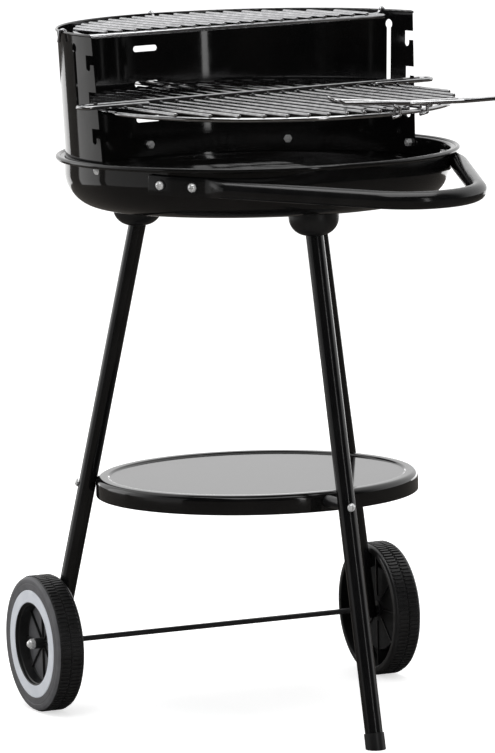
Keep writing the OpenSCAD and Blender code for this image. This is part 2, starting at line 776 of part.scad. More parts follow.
// Sleeve on the front bolt, shaped to the leg at its outer end
module shelf_spacer() {
    length = shelf_dist(leg_angles[0]) - shelf_r - fit_gap;
    color("#161617") difference() {
        translate([0, shelf_y, shelf_bolt_z]) rotate([0, 0, shelf_dir(leg_angles[0])])
            translate([shelf_r + fit_gap, 0, 0]) rotate([0, 90, 0]) difference() {
                cylinder(h = length, d = spacer_d);
                translate([0, 0, -1]) cylinder(h = length + 2, d = bolt_d + 2 * fit_gap);
            }
        leg_frame(leg_angles[0]) translate([0, 0, -leg_len]) cylinder(h = leg_len, d = leg_d + 2 * fit_gap);
    }
}

module shelf_bolts() {
    color("silver") translate([0, shelf_y, 0]) for (a = leg_angles) {
        out = shelf_dist(a) + tube_reach + head_d / 2 * tan(leg_splay) + fit_gap;
        radial(shelf_dir(a), out, shelf_bolt_z)
            bolt(bolt_d, head_d, out - shelf_r + shelf_wall + fit_gap + nut_h + thread_over);
    }
}

module shelf_nuts() {
    color("silver") translate([0, shelf_y, 0]) for (a = leg_angles)
        radial(shelf_dir(a), shelf_r - shelf_wall - 2 * fit_gap, shelf_bolt_z) nut(nut_flats, nut_h, bolt_d);
}

// ---------- wheels ----------

module axle() {
    reach = web_x + web_t + recess_depth - hub_out + 3;
    color("#202021") translate([-reach, axle_y, axle_z]) rotate([0, 90, 0])
        cylinder(h = 2 * reach, d = axle_d);
}

// Places a piece at both ends of the axle, +Z pointing outwards
module at_axle_ends(x) {
    for (s = [-1, 1]) translate([s * x, axle_y, axle_z]) rotate([0, 90 * s, 0]) children();
}

// Closed nuts on the ends of the axle
module axle_caps() {
    color("silver") at_axle_ends(face_x - hub_out + seat_gap + fit_gap) difference() {
        union() {
            cylinder(h = cap_h / 2, d = cap_flats / cos(30), $fn = 6);
            translate([0, 0, cap_h - cap_flats / 2]) sphere(d = cap_flats - 0.6);
            translate([0, 0, cap_h / 2 - 0.5]) cylinder(h = 0.5 + 0.1, d = cap_flats - 0.6);
        }
        translate([0, 0, -FAR]) cylinder(h = FAR, d = 2 * cap_flats);
        cylinder(h = 3, d = axle_d + 2 * run_gap);
    }
}

module axle_washers() {
    color("#202021") at_axle_ends(leg_side + seat_gap) difference() {
        cylinder(h = axle_washer_t, r = axle_washer_r);
        translate([0, 0, -1]) cylinder(h = axle_washer_t + 2, d = axle_d + 2 * run_gap);
    }
}

// Section of the wheel: x is the radius, y = 0 the outer face and y < 0 the inner side
module wheel_section() {
    out_r = wheel_d / 2;
    deep = recess_depth + web_t;
    difference() {
        union() {
            translate([tread_in, -wheel_w]) square([tread_t - tyre_round, wheel_w]);
            translate([tread_in, tyre_round - wheel_w]) square([tread_t, wheel_w - 2 * tyre_round]);
            for (y = [-tyre_round, tyre_round - wheel_w])
                translate([out_r - tyre_round, y]) circle(r = tyre_round, $fn = 32);
            translate([recess_r, -web_t - trim_sink])
                square([out_r - tyre_round - recess_r, web_t + trim_sink]);
            translate([recess_r, -deep]) square([web_t, deep]);
            translate([0, -deep]) square([recess_r + web_t, web_t]);
            translate([0, -deep]) square([hub_r, deep - hub_out]);
        }
        translate([recess_r - 1, -trim_sink]) square([trim_r + 0.3 - recess_r + 1, trim_sink + 1]);
    }
}

// Wheel with its outer face at z = 0
module wheel_body() {
    deep = recess_depth + web_t;
    difference() {
        union() {
            rotate_extrude($fn = 128) wheel_section();
            for (i = [0 : rib_count - 1]) rotate([0, 0, i * 360 / rib_count]) {
                translate([hub_r - 1, -rib_t / 2, -recess_depth - 1])
                    cube([recess_r - hub_r + 2, rib_t, rib_h + 1]);
                translate([2 * axle_washer_r, -rib_t / 2, -deep - 1.5])
                    cube([recess_r - 2 * axle_washer_r + 1, rib_t, 2.5]);
                translate([recess_r + 1, -rib_t / 2, -deep - 1.5])
                    cube([tread_in - recess_r, rib_t, deep]);
            }
        }
        translate([0, 0, -wheel_w]) cylinder(h = 2 * wheel_w, d = axle_d + 2 * run_gap);
    }
}

module at_wheel(side) {
    translate([side * face_x, axle_y, axle_z]) rotate([0, 90 * side, 0]) children();
}

module wheel(side) {
    color("#1d1d1e") at_wheel(side) wheel_body();
}

module wheel_trim(side) {
    color("whitesmoke") at_wheel(side) translate([0, 0, -trim_sink]) difference() {
        cylinder(h = trim_t, r = trim_r, $fn = 128);
        translate([0, 0, -1]) cylinder(h = trim_t + 2, r = trim_in, $fn = 128);
    }
}

bowl();
windshield();
windshield_bolts();
windshield_nuts();
cooking_grate();
grate_handle();
warming_rack();
push_handle();
handle_bolts();
handle_washers();
handle_nuts();
socket(leg_angles[0]);  // socket_front
socket(leg_angles[1]);  // socket_right
socket(leg_angles[2]);  // socket_left
socket_bolts();
socket_nuts();
leg_front();
rear_leg(leg_angles[1]);  // leg_right
rear_leg(leg_angles[2]);  // leg_left
front_foot();
shelf();
shelf_spacer();
shelf_bolts();
shelf_nuts();
axle();
axle_caps();
axle_washers();
wheel(-1);  // wheel_left
wheel(1);  // wheel_right
wheel_trim(-1);  // wheel_trim_left
wheel_trim(1);  // wheel_trim_right
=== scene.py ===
"""Looks of an open round charcoal grill on a wheeled tripod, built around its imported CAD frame."""

import logging
import math
from dataclasses import dataclass
from enum import Enum
from typing import Callable, Iterable, Sequence

import bmesh
import bpy
from mathutils import Matrix, Vector


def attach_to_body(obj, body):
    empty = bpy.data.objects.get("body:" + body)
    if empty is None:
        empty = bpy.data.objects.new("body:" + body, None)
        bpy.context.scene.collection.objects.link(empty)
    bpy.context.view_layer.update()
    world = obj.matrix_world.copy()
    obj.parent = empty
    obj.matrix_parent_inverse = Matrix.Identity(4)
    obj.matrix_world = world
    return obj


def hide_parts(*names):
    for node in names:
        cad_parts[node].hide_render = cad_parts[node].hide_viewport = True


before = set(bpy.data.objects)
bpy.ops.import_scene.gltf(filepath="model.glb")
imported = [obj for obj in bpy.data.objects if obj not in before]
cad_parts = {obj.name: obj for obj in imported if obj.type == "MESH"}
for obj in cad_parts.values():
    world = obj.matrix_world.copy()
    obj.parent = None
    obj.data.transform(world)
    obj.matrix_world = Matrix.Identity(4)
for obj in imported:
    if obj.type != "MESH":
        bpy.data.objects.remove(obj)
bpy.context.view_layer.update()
LOG = logging.getLogger("grill")
MM = 0.001
Path = list[Vector]
Profile = list[tuple[float, float]]

# Parts of a full turn of a sheet piece, a trim ring and the floor, and sides of a wire, a frame and a tube
SHEET_STEPS = 180
TRIM_STEPS = 128
FLOOR_STEPS = 96
WIRE_SIDES = 12
FRAME_SIDES = 14
TUBE_SIDES = 40
# Angle in degrees past which an edge is sharp, on spun pieces, wires, the pressed tube and mouldings
SPUN_CREASE = 40.0
WIRE_CREASE = 50.0
TUBE_CREASE = 60.0
MOULD_CREASE = 28.0
# How deep two crossing wires are welded, and how far a bar reaches past its frame, in mm
WELD = 0.8
OVERHANG = 1.2
# Rounding of a cut end: its share of the radius, the most of it in mm, and its angles in degrees
END_SHARE = 0.55
END_MOST = 1.5
END_TURNS = (0, 30, 60)
# Distance in mm at which points are merged
MERGE = 1e-4
# Half a corner's angle in degrees past which it counts as straight, and the share of a stretch that
# a bend may take up
STRAIGHT = 89.5
BEND_SHARE = 0.48
# How upright a path may start before its side is taken from X
UPRIGHT = 0.9
# Values between which most of a noise pattern lies, and its roughness
NOISE_SPAN = (0.3, 0.7)
NOISE_ROUGHNESS = 0.55
# Octaves of the colour's and of the roughness's pattern, and the second's width as a share of a patch
MOTTLE_DETAIL = 4.0
HAZE_DETAIL = 5.0
HAZE_SHARE = 0.4
PAINT_IOR = 1.5
# Leeway in mm, or as a share of one, with which a face counts as lying on a surface
TOUCH = 0.1
# Places among a wheel's materials of the finish painted lighter as painted light and of the dull one painted
# darker as painted shade
LIT_FACE_TONE = 1
SHADED_BACK_TONE = 2


class Slot(Enum):
    """Material slots of the record."""

    ENAMEL = "black_enamel"
    GLOSS_PAINT = "gloss_black_paint"
    SATIN_PAINT = "satin_black_paint"
    CHROME = "chrome_wire"
    ZINC = "zinc_hardware"
    AXLE = "axle_steel"
    PLASTIC = "black_plastic"
    WHEEL = "wheel_plastic"
    TRIM = "white_trim"


class Side(Enum):
    """Side of the grill, as the sign of its x."""

    LEFT = -1
    RIGHT = 1


# ---------- finishes ----------


@dataclass(frozen=True)
class Grain:
    """Surface relief of a finish.

    size is the width of one bump and height its depth, both in mm, and detail its octaves.
    """

    size: float
    height: float
    detail: float = 2.0


@dataclass(frozen=True)
class Finish:
    """A finish with mottled colour, uneven roughness and a fine relief.

    dark and light are the colours it varies between, rough its least and most roughness, and
    patch the width in mm of a patch of colour. tone ends the name of a material that shares its slot
    with another.
    """

    slot: Slot
    dark: tuple[float, float, float]
    light: tuple[float, float, float]
    rough: tuple[float, float]
    patch: float
    grain: Grain
    metallic: float = 0.0
    tone: str = ""

    def noise(self, nodes: bpy.types.Nodes, links: bpy.types.NodeLinks, source: bpy.types.NodeSocket,
              width: float, detail: float) -> bpy.types.NodeSocket:
        """Adds a noise pattern.

        Args:
            nodes: The material's nodes.
            links: The material's links.
            source: Where the pattern takes its place from.
            width: Width of one cell in mm.
            detail: Octaves of the noise.

        Returns:
            The pattern's factor.
        """
        pattern = nodes.new("ShaderNodeTexNoise")
        pattern.inputs["Scale"].default_value = 1.0 / (width * MM)
        pattern.inputs["Detail"].default_value = detail
        pattern.inputs["Roughness"].default_value = NOISE_ROUGHNESS
        links.new(source, pattern.inputs["Vector"])
        return pattern.outputs["Fac"]

    def spread(self, nodes: bpy.types.Nodes, links: bpy.types.NodeLinks, value: bpy.types.NodeSocket,
               low: float, high: float) -> bpy.types.NodeSocket:
        """Spreads a pattern's middle values over a range.

        Args:
            nodes: The material's nodes.
            links: The material's links.
            value: The pattern.
            low: Result where the pattern is low.
            high: Result where it is high.

        Returns:
            The spread value.
        """
        ranged = nodes.new("ShaderNodeMapRange")
        ranged.inputs["From Min"].default_value = NOISE_SPAN[0]
        ranged.inputs["From Max"].default_value = NOISE_SPAN[1]
        ranged.inputs["To Min"].default_value = low
        ranged.inputs["To Max"].default_value = high
        links.new(value, ranged.inputs["Value"])
        return ranged.outputs["Result"]

    def build(self) -> bpy.types.Material:
        """Builds the material.

        Returns:
            The new material.
        """
        material = bpy.data.materials.new(self.slot.value + self.tone)
        material.use_nodes = True
        nodes, links = material.node_tree.nodes, material.node_tree.links
        shader = nodes["Principled BSDF"]
        shader.inputs["Metallic"].default_value = self.metallic
        shader.inputs["IOR"].default_value = PAINT_IOR
        place = nodes.new("ShaderNodeTexCoord")
        source = place.outputs["Object"]

        mottle = self.noise(nodes, links, source, self.patch, MOTTLE_DETAIL)
        colour = nodes.new("ShaderNodeMix")
        colour.data_type = "RGBA"
        colour.inputs["A"].default_value = (*self.dark, 1.0)
        colour.inputs["B"].default_value = (*self.light, 1.0)
        links.new(self.spread(nodes, links, mottle, 0.0, 1.0), colour.inputs["Factor"])
        links.new(colour.outputs["Result"], shader.inputs["Base Color"])

        haze = self.noise(nodes, links, source, self.patch * HAZE_SHARE, HAZE_DETAIL)
        links.new(self.spread(nodes, links, haze, *self.rough), shader.inputs["Roughness"])

        relief = self.noise(nodes, links, source, self.grain.size, self.grain.detail)
        bump = nodes.new("ShaderNodeBump")
        bump.inputs["Strength"].default_value = 1.0
        bump.inputs["Distance"].default_value = self.grain.height * MM
        links.new(relief, bump.inputs["Height"])
        links.new(bump.outputs["Normal"], shader.inputs["Normal"])
        return material


FINISHES = (
    Finish(Slot.ENAMEL, (0.003, 0.003, 0.0032), (0.006, 0.0058, 0.0056),
           (0.05, 0.10), 60.0, Grain(7.0, 0.012)),
    Finish(Slot.GLOSS_PAINT, (0.003, 0.003, 0.0033), (0.006, 0.006, 0.0062),
           (0.12, 0.2), 40.0, Grain(1.6, 0.006)),
    Finish(Slot.SATIN_PAINT, (0.003, 0.003, 0.0032), (0.007, 0.007, 0.0072),
           (0.14, 0.2), 30.0, Grain(0.9, 0.008)),
    Finish(Slot.CHROME, (0.42, 0.42, 0.43), (0.58, 0.58, 0.59),
           (0.16, 0.28), 9.0, Grain(2.2, 0.02), metallic=1.0),
    Finish(Slot.ZINC, (0.66, 0.665, 0.67), (0.90, 0.90, 0.89),
           (0.16, 0.3), 3.5, Grain(0.8, 0.01), metallic=0.5),
    Finish(Slot.AXLE, (0.010, 0.010, 0.011), (0.022, 0.022, 0.023),
           (0.28, 0.42), 12.0, Grain(0.7, 0.01)),
    Finish(Slot.PLASTIC, (0.006, 0.006, 0.0065), (0.011, 0.011, 0.0115),
           (0.30, 0.42), 18.0, Grain(0.55, 0.014)),
    Finish(Slot.WHEEL, (0.009, 0.009, 0.0093), (0.015, 0.015, 0.0155),
           (0.27, 0.38), 14.0, Grain(0.6, 0.02)),
    Finish(Slot.TRIM, (0.66, 0.69, 0.74), (0.74, 0.765, 0.81),
           (0.34, 0.44), 16.0, Grain(0.8, 0.008)),
)


# Wires of the cooking grate and its lifter, darker and smoother than those of the warming rack
GRATE_WIRE = Finish(Slot.CHROME, (0.38, 0.38, 0.385), (0.56, 0.56, 0.565), (0.07, 0.15), 9.0,
                    Grain(2.2, 0.02), metallic=1.0, tone="_grate")
# Sidewall and web of the wheels, painted lighter than the rest of the moulding: painted light for the light
# that falls on them
WHEEL_LIT_FACE = Finish(Slot.WHEEL, (0.085, 0.085, 0.09), (0.115, 0.115, 0.121), (0.42, 0.55), 14.0,
                    Grain(0.6, 0.02), tone="_face")
# Hollow back of the wheels, dull from the mould and painted darker than the rest as painted shade in the
# hollow
WHEEL_SHADED_BACK = Finish(Slot.WHEEL, (0.002, 0.002, 0.0021), (0.004, 0.004, 0.0041), (0.8, 0.9), 14.0,
                    Grain(0.6, 0.02), tone="_back")


class Paints:
    """The built materials, by slot."""

    def __init__(self, finishes: Iterable[Finish]) -> None:
        """Builds each slot's finish.

        Args:
            finishes: The finishes, one for each slot.
        """
        self.made = {finish.slot: finish.build() for finish in finishes}

    def __getitem__(self, slot: Slot | Finish) -> bpy.types.Material:
        """Finds a material, and builds that of a finish that isn't a slot's when first asked for.

        Args:
            slot: The slot, or the finish itself.

        Returns:
            The material.
        """
        if slot not in self.made:
            self.made[slot] = slot.build()
        return self.made[slot]


# ---------- shared mesh work ----------


def arc(cx: float, cy: float, radius: float, start: float, end: float, steps: int) -> Profile:
    """Points of an arc.

    Args:
        cx: Centre, first coordinate.
        cy: Centre, second coordinate.
        radius: Radius.
        start: First angle in degrees.
        end: Last angle in degrees.
        steps: Number of parts.

    Returns:
        The points, ends included.
    """
    turns = [math.radians(start + (end - start) * i / steps) for i in range(steps + 1)]
    return [(cx + radius * math.cos(t), cy + radius * math.sin(t)) for t in turns]


def turned(shape: bmesh.types.BMesh, outline: Profile, steps: int, closed: bool = True) -> None:
    """Spins an outline of radius and height around Z into a mesh.

    Args:
        shape: The mesh to add to.
        outline: Radius and height of each point.
        steps: Parts of the full turn.
        closed: Whether the outline's ends are joined.
    """
    points = [shape.verts.new((r, 0.0, z)) for r, z in outline]
    pairs = list(zip(points, points[1:])) + ([(points[-1], points[0])] if closed else [])
    edges = [shape.edges.new(pair) for pair in pairs]
    bmesh.ops.spin(shape, geom=points + edges, cent=(0, 0, 0), axis=(0, 0, 1), angle=math.tau,
                   steps=steps, use_merge=True)
    bmesh.ops.remove_doubles(shape, verts=shape.verts, dist=MERGE)
    bmesh.ops.recalc_face_normals(shape, faces=shape.faces)


def filleted(corners: Sequence[Vector], radius: float, steps: int = 6) -> Path:
    """Rounds the corners of a line of points.

    Args:
        corners: The line's points.
        radius: Bend radius, made smaller where a stretch is short.
        steps: Parts of each bend.

    Returns:
        The rounded line.
    """
    line: Path = [corners[0].copy()]
    for before, corner, after in zip(corners, corners[1:], corners[2:]):
        back, ahead = before - corner, after - corner
        half = back.angle(ahead) / 2
        if half > math.radians(STRAIGHT):
            line.append(corner.copy())
            continue
        reach = min(radius / math.tan(half), BEND_SHARE * back.length, BEND_SHARE * ahead.length)
        bend = reach * math.tan(half)
        middle = corner + (back.normalized() + ahead.normalized()).normalized() * math.hypot(reach, bend)
        first = corner + back.normalized() * reach - middle
        last = corner + ahead.normalized() * reach - middle
        for i in range(steps + 1):
            line.append(middle + first.slerp(last, i / steps, first))
    line.append(corners[-1].copy())
    return line


def frames_along(path: Sequence[Vector], loop: bool = False) -> list[Matrix]:
    """Frames that follow a path without twisting.

    Args:
        path: The path's points.
        loop: Whether the last point leads to the first.

    Returns:
        One matrix for each point, its Z along the path.
    """
    count = len(path)
    tangents = []
    for i in range(count):
        ahead = path[(i + 1) % count] if loop or i < count - 1 else path[i]
        behind = path[i - 1] if loop or i > 0 else path[i]
        tangents.append((ahead - behind).normalized())
    seed = Vector((0, 0, 1)) if abs(tangents[0].z) < UPRIGHT else Vector((1, 0, 0))
    side = (seed - tangents[0] * seed.dot(tangents[0])).normalized()
    made = []
    for point, tangent in zip(path, tangents):
        side = (side - tangent * side.dot(tangent)).normalized()
        across = tangent.cross(side)
        turn = Matrix((side, across, tangent)).transposed().to_4x4()
        made.append(Matrix.Translation(point) @ turn)
    return made


def swept(shape: bmesh.types.BMesh, path: Sequence[Vector], diameter: float, sides: int = WIRE_SIDES,
          loop: bool = False, section: Callable[[int, float], tuple[float, float]] | None = None) -> None:
    """Draws a round wire or tube along a path, with rounded ends.

    Args:
        shape: The mesh to add to.
        path: The path's points.
        diameter: Diameter of the wire.
        sides: Sides of its section.
        loop: Whether it closes on itself.
        section: Gives the section's point for a place on the path and a turn, where it isn't round.
    """
    stations = [(frame_, 1.0) for frame_ in frames_along(path, loop)]
    radius = diameter / 2
    if not loop:
        first, last = stations[0][0], stations[-1][0]
        edge = min(radius * END_SHARE, END_MOST)
        ends = [(edge * (1 - math.cos(t)), 1 - (edge / radius) * (1 - math.sin(t)))
                for t in map(math.radians, END_TURNS)]
        stations = ([(first @ Matrix.Translation((0, 0, d)), k) for d, k in ends]
                    + stations[1:-1]
                    + [(last @ Matrix.Translation((0, 0, -d)), k) for d, k in reversed(ends)])
        stations.insert(len(ends), (first @ Matrix.Translation((0, 0, edge)), 1.0))
        stations.insert(len(stations) - len(ends), (last @ Matrix.Translation((0, 0, -edge)), 1.0))
    total = len(stations)
    ring = bmesh.ops.create_circle(shape, cap_ends=not loop, segments=sides, radius=1.0)["verts"]
    turns = {vert: math.tau * i / sides for i, vert in enumerate(ring)}

    def put(verts: dict[bmesh.types.BMVert, float], index: int) -> None:
        """Moves one ring of the section to its station.

        Args:
            verts: The ring's vertices and their turns.
            index: The station's place on the path.
        """
        matrix, scale = stations[index]
        for vert, turn in verts.items():
            x, y = section(index, turn) if section else (radius * math.cos(turn), radius * math.sin(turn))
            vert.co = matrix @ Vector((x * scale, y * scale, 0))

    put(turns, 0)
    first_edges = [e for e in shape.edges if e.verts[0] in turns and e.verts[1] in turns]
    edges = first_edges
    for index in range(1, total):
        before = turns
        grown = bmesh.ops.extrude_edge_only(shape, edges=edges)["geom"]
        fresh = {v for v in grown if isinstance(v, bmesh.types.BMVert)}
        edges = [e for e in grown if isinstance(e, bmesh.types.BMEdge)
                 and e.verts[0] in fresh and e.verts[1] in fresh]
        turns = {}
        for vert in fresh:
            for edge_ in vert.link_edges:
                other = edge_.other_vert(vert)
                if other in before:
                    turns[vert] = before[other]
        put(turns, index)
    if loop:
        bmesh.ops.bridge_loops(shape, edges=edges + first_edges)
    else:
        bmesh.ops.contextual_create(shape, geom=edges)


@dataclass
class Bench:
    """Turns finished meshes into named pieces of the grill."""

    paints: Paints

    def finish(self, name: str, shape: bmesh.types.BMesh, slot: Slot, body: str, crease: float,
               replaces: Sequence[str] = (), tones: Sequence[Slot | Finish] = ()) -> bpy.types.Object:
        """Makes a piece from a mesh in mm.

        Args:
            name: Name of the piece.
            shape: Its mesh, which is freed.
            slot: Its finish.
            body: The CAD body that it rides on.
            crease: Angle in degrees past which an edge is sharp.
            replaces: CAD nodes that it stands for.
            tones: The faces' finishes by their material index, where the slot's alone won't do.

        Returns:
            The new object.
        """
        bmesh.ops.transform(shape, verts=shape.verts, matrix=Matrix.Diagonal((MM, MM, MM, 1)))
        mesh = bpy.data.meshes.new(name)
        shape.to_mesh(mesh)
        shape.free()
        mesh.shade_smooth()
        mesh.set_sharp_from_angle(angle=math.radians(crease))
        for tone in tones or (slot,):
            mesh.materials.append(self.paints[tone])
        piece = bpy.data.objects.new(name, mesh)
        bpy.context.scene.collection.objects.link(piece)
        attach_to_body(piece, body)
        if replaces:
            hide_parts(*replaces)
        LOG.info("%s: %d faces", name, len(mesh.polygons))
        return piece

    def dress(self, node: str, slot: Slot) -> None:
        """Gives a CAD node that stays its finish.

        Args:
            node: The node.
            slot: Its finish.
        """
        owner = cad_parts[node]
        for place in owner.material_slots:
            place.material = self.paints[slot]
        if not owner.material_slots:
            owner.data.materials.append(self.paints[slot])
        LOG.info("%s: dressed as %s", node, slot.value)


# ---------- the grill's sub-assemblies, sizes in mm ----------


@dataclass
class Head:
    """Frame shared by the bowl's fittings, which are turned together on the stand."""

    turn: float = 10.0
    rim_z: float = 617.5

    def matrix(self) -> Matrix:
        """Returns the frame."""
        return Matrix.Rotation(math.radians(self.turn), 4, "Z")


@dataclass
class Bowl:
    """Pressed and enamelled charcoal bowl with a rolled rim.

    bead_c is the radius of the bead's centre line, neck_r and mouth_r the roundings outside and
    inside where the wall turns out to it, and floor_rings where the floor is divided.
    """

    head: Head
    radius: float = 209.0
    wall: float = 1.2
    depth: float = 57.0
    shoulder: float = 38.5
    bead_r: float = 2.75
    bead_c: float = 215.75
    bead_turn: float = 340.0
    neck_r: float = 2.6
    neck_drop: float = 3.2
    mouth_r: float = 3.0
    floor_rings: tuple[float, ...] = (0.5, 0.9)

    def build(self, bench: Bench) -> None:
        """Spins the bowl and adds it.

        Args:
            bench: Where pieces are made.
        """
        floor_z = self.head.rim_z - self.depth
        centre_r, centre_z = self.radius - self.shoulder, floor_z + self.shoulder
        bead_z = self.head.rim_z - self.bead_r
        inner = self.radius - self.wall
        outline: Profile = [(0.0, floor_z)]
        outline += [(centre_r * k, floor_z) for k in self.floor_rings]
        outline += arc(centre_r, centre_z, self.shoulder, -90, 0, 20)
        outline += [(self.radius, bead_z - self.neck_drop)]
        outline += arc(self.radius + self.neck_r, bead_z - self.neck_r, self.neck_r, 180, 90, 5)[1:]
        outline += arc(self.bead_c, bead_z, self.bead_r, 180, 180 + self.bead_turn, 22)
        outline += [(inner + self.mouth_r, bead_z + self.wall)]
        outline += arc(inner + self.mouth_r, bead_z + self.wall - self.mouth_r, self.mouth_r, 90, 180, 5)[1:]
        outline += arc(centre_r, centre_z, self.shoulder - self.wall, 0, -90, 20)
        outline += [(centre_r * k, floor_z + self.wall) for k in reversed(self.floor_rings)]
        outline += [(0.0, floor_z + self.wall)]
        shape = bmesh.new()
        turned(shape, outline, SHEET_STEPS, closed=False)
        bench.finish("bowl_shell", shape, Slot.ENAMEL, "stand", SPUN_CREASE, ["bowl"])


@dataclass
class Grate:
    """Chromed cooking grate: a ring, its bars, a cross wire with looped ends and the back hook."""

    head: Head
    frame_y: float = 6.686
    frame_z: float = 678.05
    droop: float = 0.9
    ring_r: float = 197.0
    ring_y: float = -32.686
    ring_z: float = -7.65
    ring_d: float = 5.0
    bar_z: float = -3.7
    bar_d: float = 4.5
    bar_pitch: float = 20.0
    bar_side: int = 9
    loop_x: float = 221.882
    loop_w: float = 20.0
    root_in: float = 1.5
    hook_d: float = 4.0
    hook_w: float = 20.0
    hook_start: float = 142.314
    hook_end: float = 208.424

    def matrix(self) -> Matrix:
        """Returns the grate's frame, at the middle of its cross wire."""
        return (self.head.matrix() @ Matrix.Translation((0, self.frame_y, self.frame_z))
                @ Matrix.Rotation(math.radians(self.droop), 4, "X"))

    def ring(self, shape: bmesh.types.BMesh) -> None:
        """Adds the ring.

        Args:
            shape: The mesh to add to.
        """
        path = [Vector((x, y + self.ring_y, self.ring_z))
                for x, y in arc(0, 0, self.ring_r, 0, 360, 160)[:-1]]
        swept(shape, path, self.ring_d, FRAME_SIDES, loop=True)

    def bars(self, shape: bmesh.types.BMesh) -> None:
        """Adds the bars, each welded onto the ring at both ends.

        Args:
            shape: The mesh to add to.
        """
        for i in range(-self.bar_side, self.bar_side + 1):
            x = i * self.bar_pitch
            half = math.sqrt(self.ring_r ** 2 - x ** 2) + OVERHANG
            swept(shape, [Vector((x, self.ring_y - half, self.bar_z)),
                          Vector((x, self.ring_y, self.bar_z)),
                          Vector((x, self.ring_y + half, self.bar_z))], self.bar_d)

    def cross_wire(self, shape: bmesh.types.BMesh) -> None:
        """Adds the cross wire, which bends back into a loop outside each notch.

        Args:
            shape: The mesh to add to.
        """
        root = (self.bar_side - self.root_in) * self.bar_pitch
        half = self.loop_w / 2
        right = [Vector((x, y - half, 0)) for x, y in arc(self.loop_x, 0, half, -90, 90, 12)]
        left = [Vector((-p.x, p.y, 0)) for p in reversed(right)]
        path = [Vector((root, -self.loop_w, 0)), *right, Vector((0, 0, 0)), *left,
                Vector((-root, -self.loop_w, 0))]
        swept(shape, path, self.bar_d)

    def back_hook(self, shape: bmesh.types.BMesh) -> None:
        """Adds the hook that reaches through the slot in the back of the windshield.

        Args:
            shape: The mesh to add to.
        """
        half = self.hook_w / 2
        bend = [Vector((x, y, self.bar_z)) for x, y in arc(0, self.hook_end, half, 0, 180, 12)]
        swept(shape, [Vector((half, self.hook_start, self.bar_z)), *bend,
                      Vector((-half, self.hook_start, self.bar_z))], self.hook_d)

    def build(self, bench: Bench) -> None:
        """Adds the grate.

        Args:
            bench: Where pieces are made.
        """
        shape = bmesh.new()
        self.ring(shape)
        self.bars(shape)
        self.cross_wire(shape)
        self.back_hook(shape)
        bmesh.ops.transform(shape, verts=shape.verts, matrix=self.matrix())
        bmesh.ops.recalc_face_normals(shape, faces=shape.faces)
        bench.finish("grate_wires", shape, Slot.CHROME, "grate", WIRE_CREASE, ["cooking_grate"],
                     (GRATE_WIRE,))


@dataclass
class GrateHandle:
    """Handle of the grate, bent from one wire, with two clips around the ring.

    prong_mid is half the prongs' distance over the ring, pinch half that of the two wires at the
    eye, and fit the clips' clearance from the ring.
    """

    grate: Grate
    angle: float = -78.0
    heading: float = -17.0
    height: float = 0.9
    wire_d: float = 4.5
    clip_d: float = 3.5
    prong_gap: float = 30.0
    prong_l: float = 82.0
    prong_mid: float = 11.4
    tip_rise: float = 9.0
    tip_l: float = 3.0
    tip_spread: float = 2.0
    neck: float = 58.0
    pinch: float = 2.65
    eye_x: float = 113.0
    eye_r: float = 9.0
    eye_open: float = 12.0
    bend: float = 7.0
    clip_bend: float = 3.0
    clip_in: float = 1.0
    fit: float = 0.1
    rise: float = 1.0
    ring_under: float = -8.55

    def half(self, side: int) -> Path:
        """Points of one half of the wire, from its tip to the eye.

        Args:
            side: Sign of the half's y.

        Returns:
            The points.
        """
        slope = math.tan(math.radians(self.rise))
        turn = math.asin(self.pinch / self.eye_r)
        mouth = self.eye_x - self.eye_r * math.cos(turn)
        tip_y = self.prong_gap / 2 + self.tip_spread
        return [Vector((-self.prong_l - self.tip_l, side * tip_y, self.tip_rise)),
                Vector((-self.prong_l, side * self.prong_gap / 2, 0)),
                Vector((0, side * self.prong_mid, 0)),
                Vector((self.neck, side * self.pinch, self.neck * slope)),
                Vector((mouth, side * self.pinch, mouth * slope))]

    def eye(self) -> Path:
        """Works out the points around the eye.

        Returns:
            The points, from one half of the wire to the other.
        """
        slope = math.tan(math.radians(self.rise))
        turn = math.degrees(math.asin(self.pinch / self.eye_r))
        reach = 180 - turn - self.eye_open
        points = arc(self.eye_x, 0, self.eye_r, reach, -reach, 20)
        return [Vector((x, y, x * slope)) for x, y in points]

    def clip(self, side: int) -> Path:
        """Points of the clip that hooks one prong around the ring.

        Args:
            side: Sign of the prong's y.

        Returns:
            The points.
        """
        skew = math.radians(90 + self.angle - self.heading)
        if side > 0:
            slope = (self.pinch - self.prong_mid) / self.neck
        else:
            slope = (self.prong_mid - self.prong_gap / 2) / self.prong_l
        x = self.prong_mid / (side * math.tan(skew) - slope)
        y = side * (self.prong_mid + x * slope)
        clear = (self.grate.ring_d + self.clip_d) / 2 + self.fit
        far = x + clear / math.sin(skew) + self.clip_in
        under = self.ring_under - clear
        corners = [Vector((x + self.clip_in, y, 0)), Vector((far, y, 0)), Vector((far, y, under)),
                   Vector((x - self.clip_in, y, under))]
        return filleted(corners, self.clip_bend)

    def build(self, bench: Bench) -> None:
        """Adds the handle.

        Args:
            bench: Where pieces are made.
        """
        shape = bmesh.new()
        corners = self.half(1) + self.eye() + list(reversed(self.half(-1)))
        swept(shape, filleted(corners, self.bend), self.wire_d, FRAME_SIDES)
        for side in (-1, 1):
            swept(shape, self.clip(side), self.clip_d)
        seat = math.radians(self.angle)
        place = (self.grate.matrix()
                 @ Matrix.Translation((self.grate.ring_r * math.cos(seat),
                                       self.grate.ring_y + self.grate.ring_r * math.sin(seat), self.height))
                 @ Matrix.Rotation(math.radians(self.heading), 4, "Z"))
        bmesh.ops.transform(shape, verts=shape.verts, matrix=place)
        bmesh.ops.recalc_face_normals(shape, faces=shape.faces)
        bench.finish("grate_handle_wire", shape, Slot.CHROME, "grate", WIRE_CREASE, ["grate_handle"],
                     (GRATE_WIRE,))


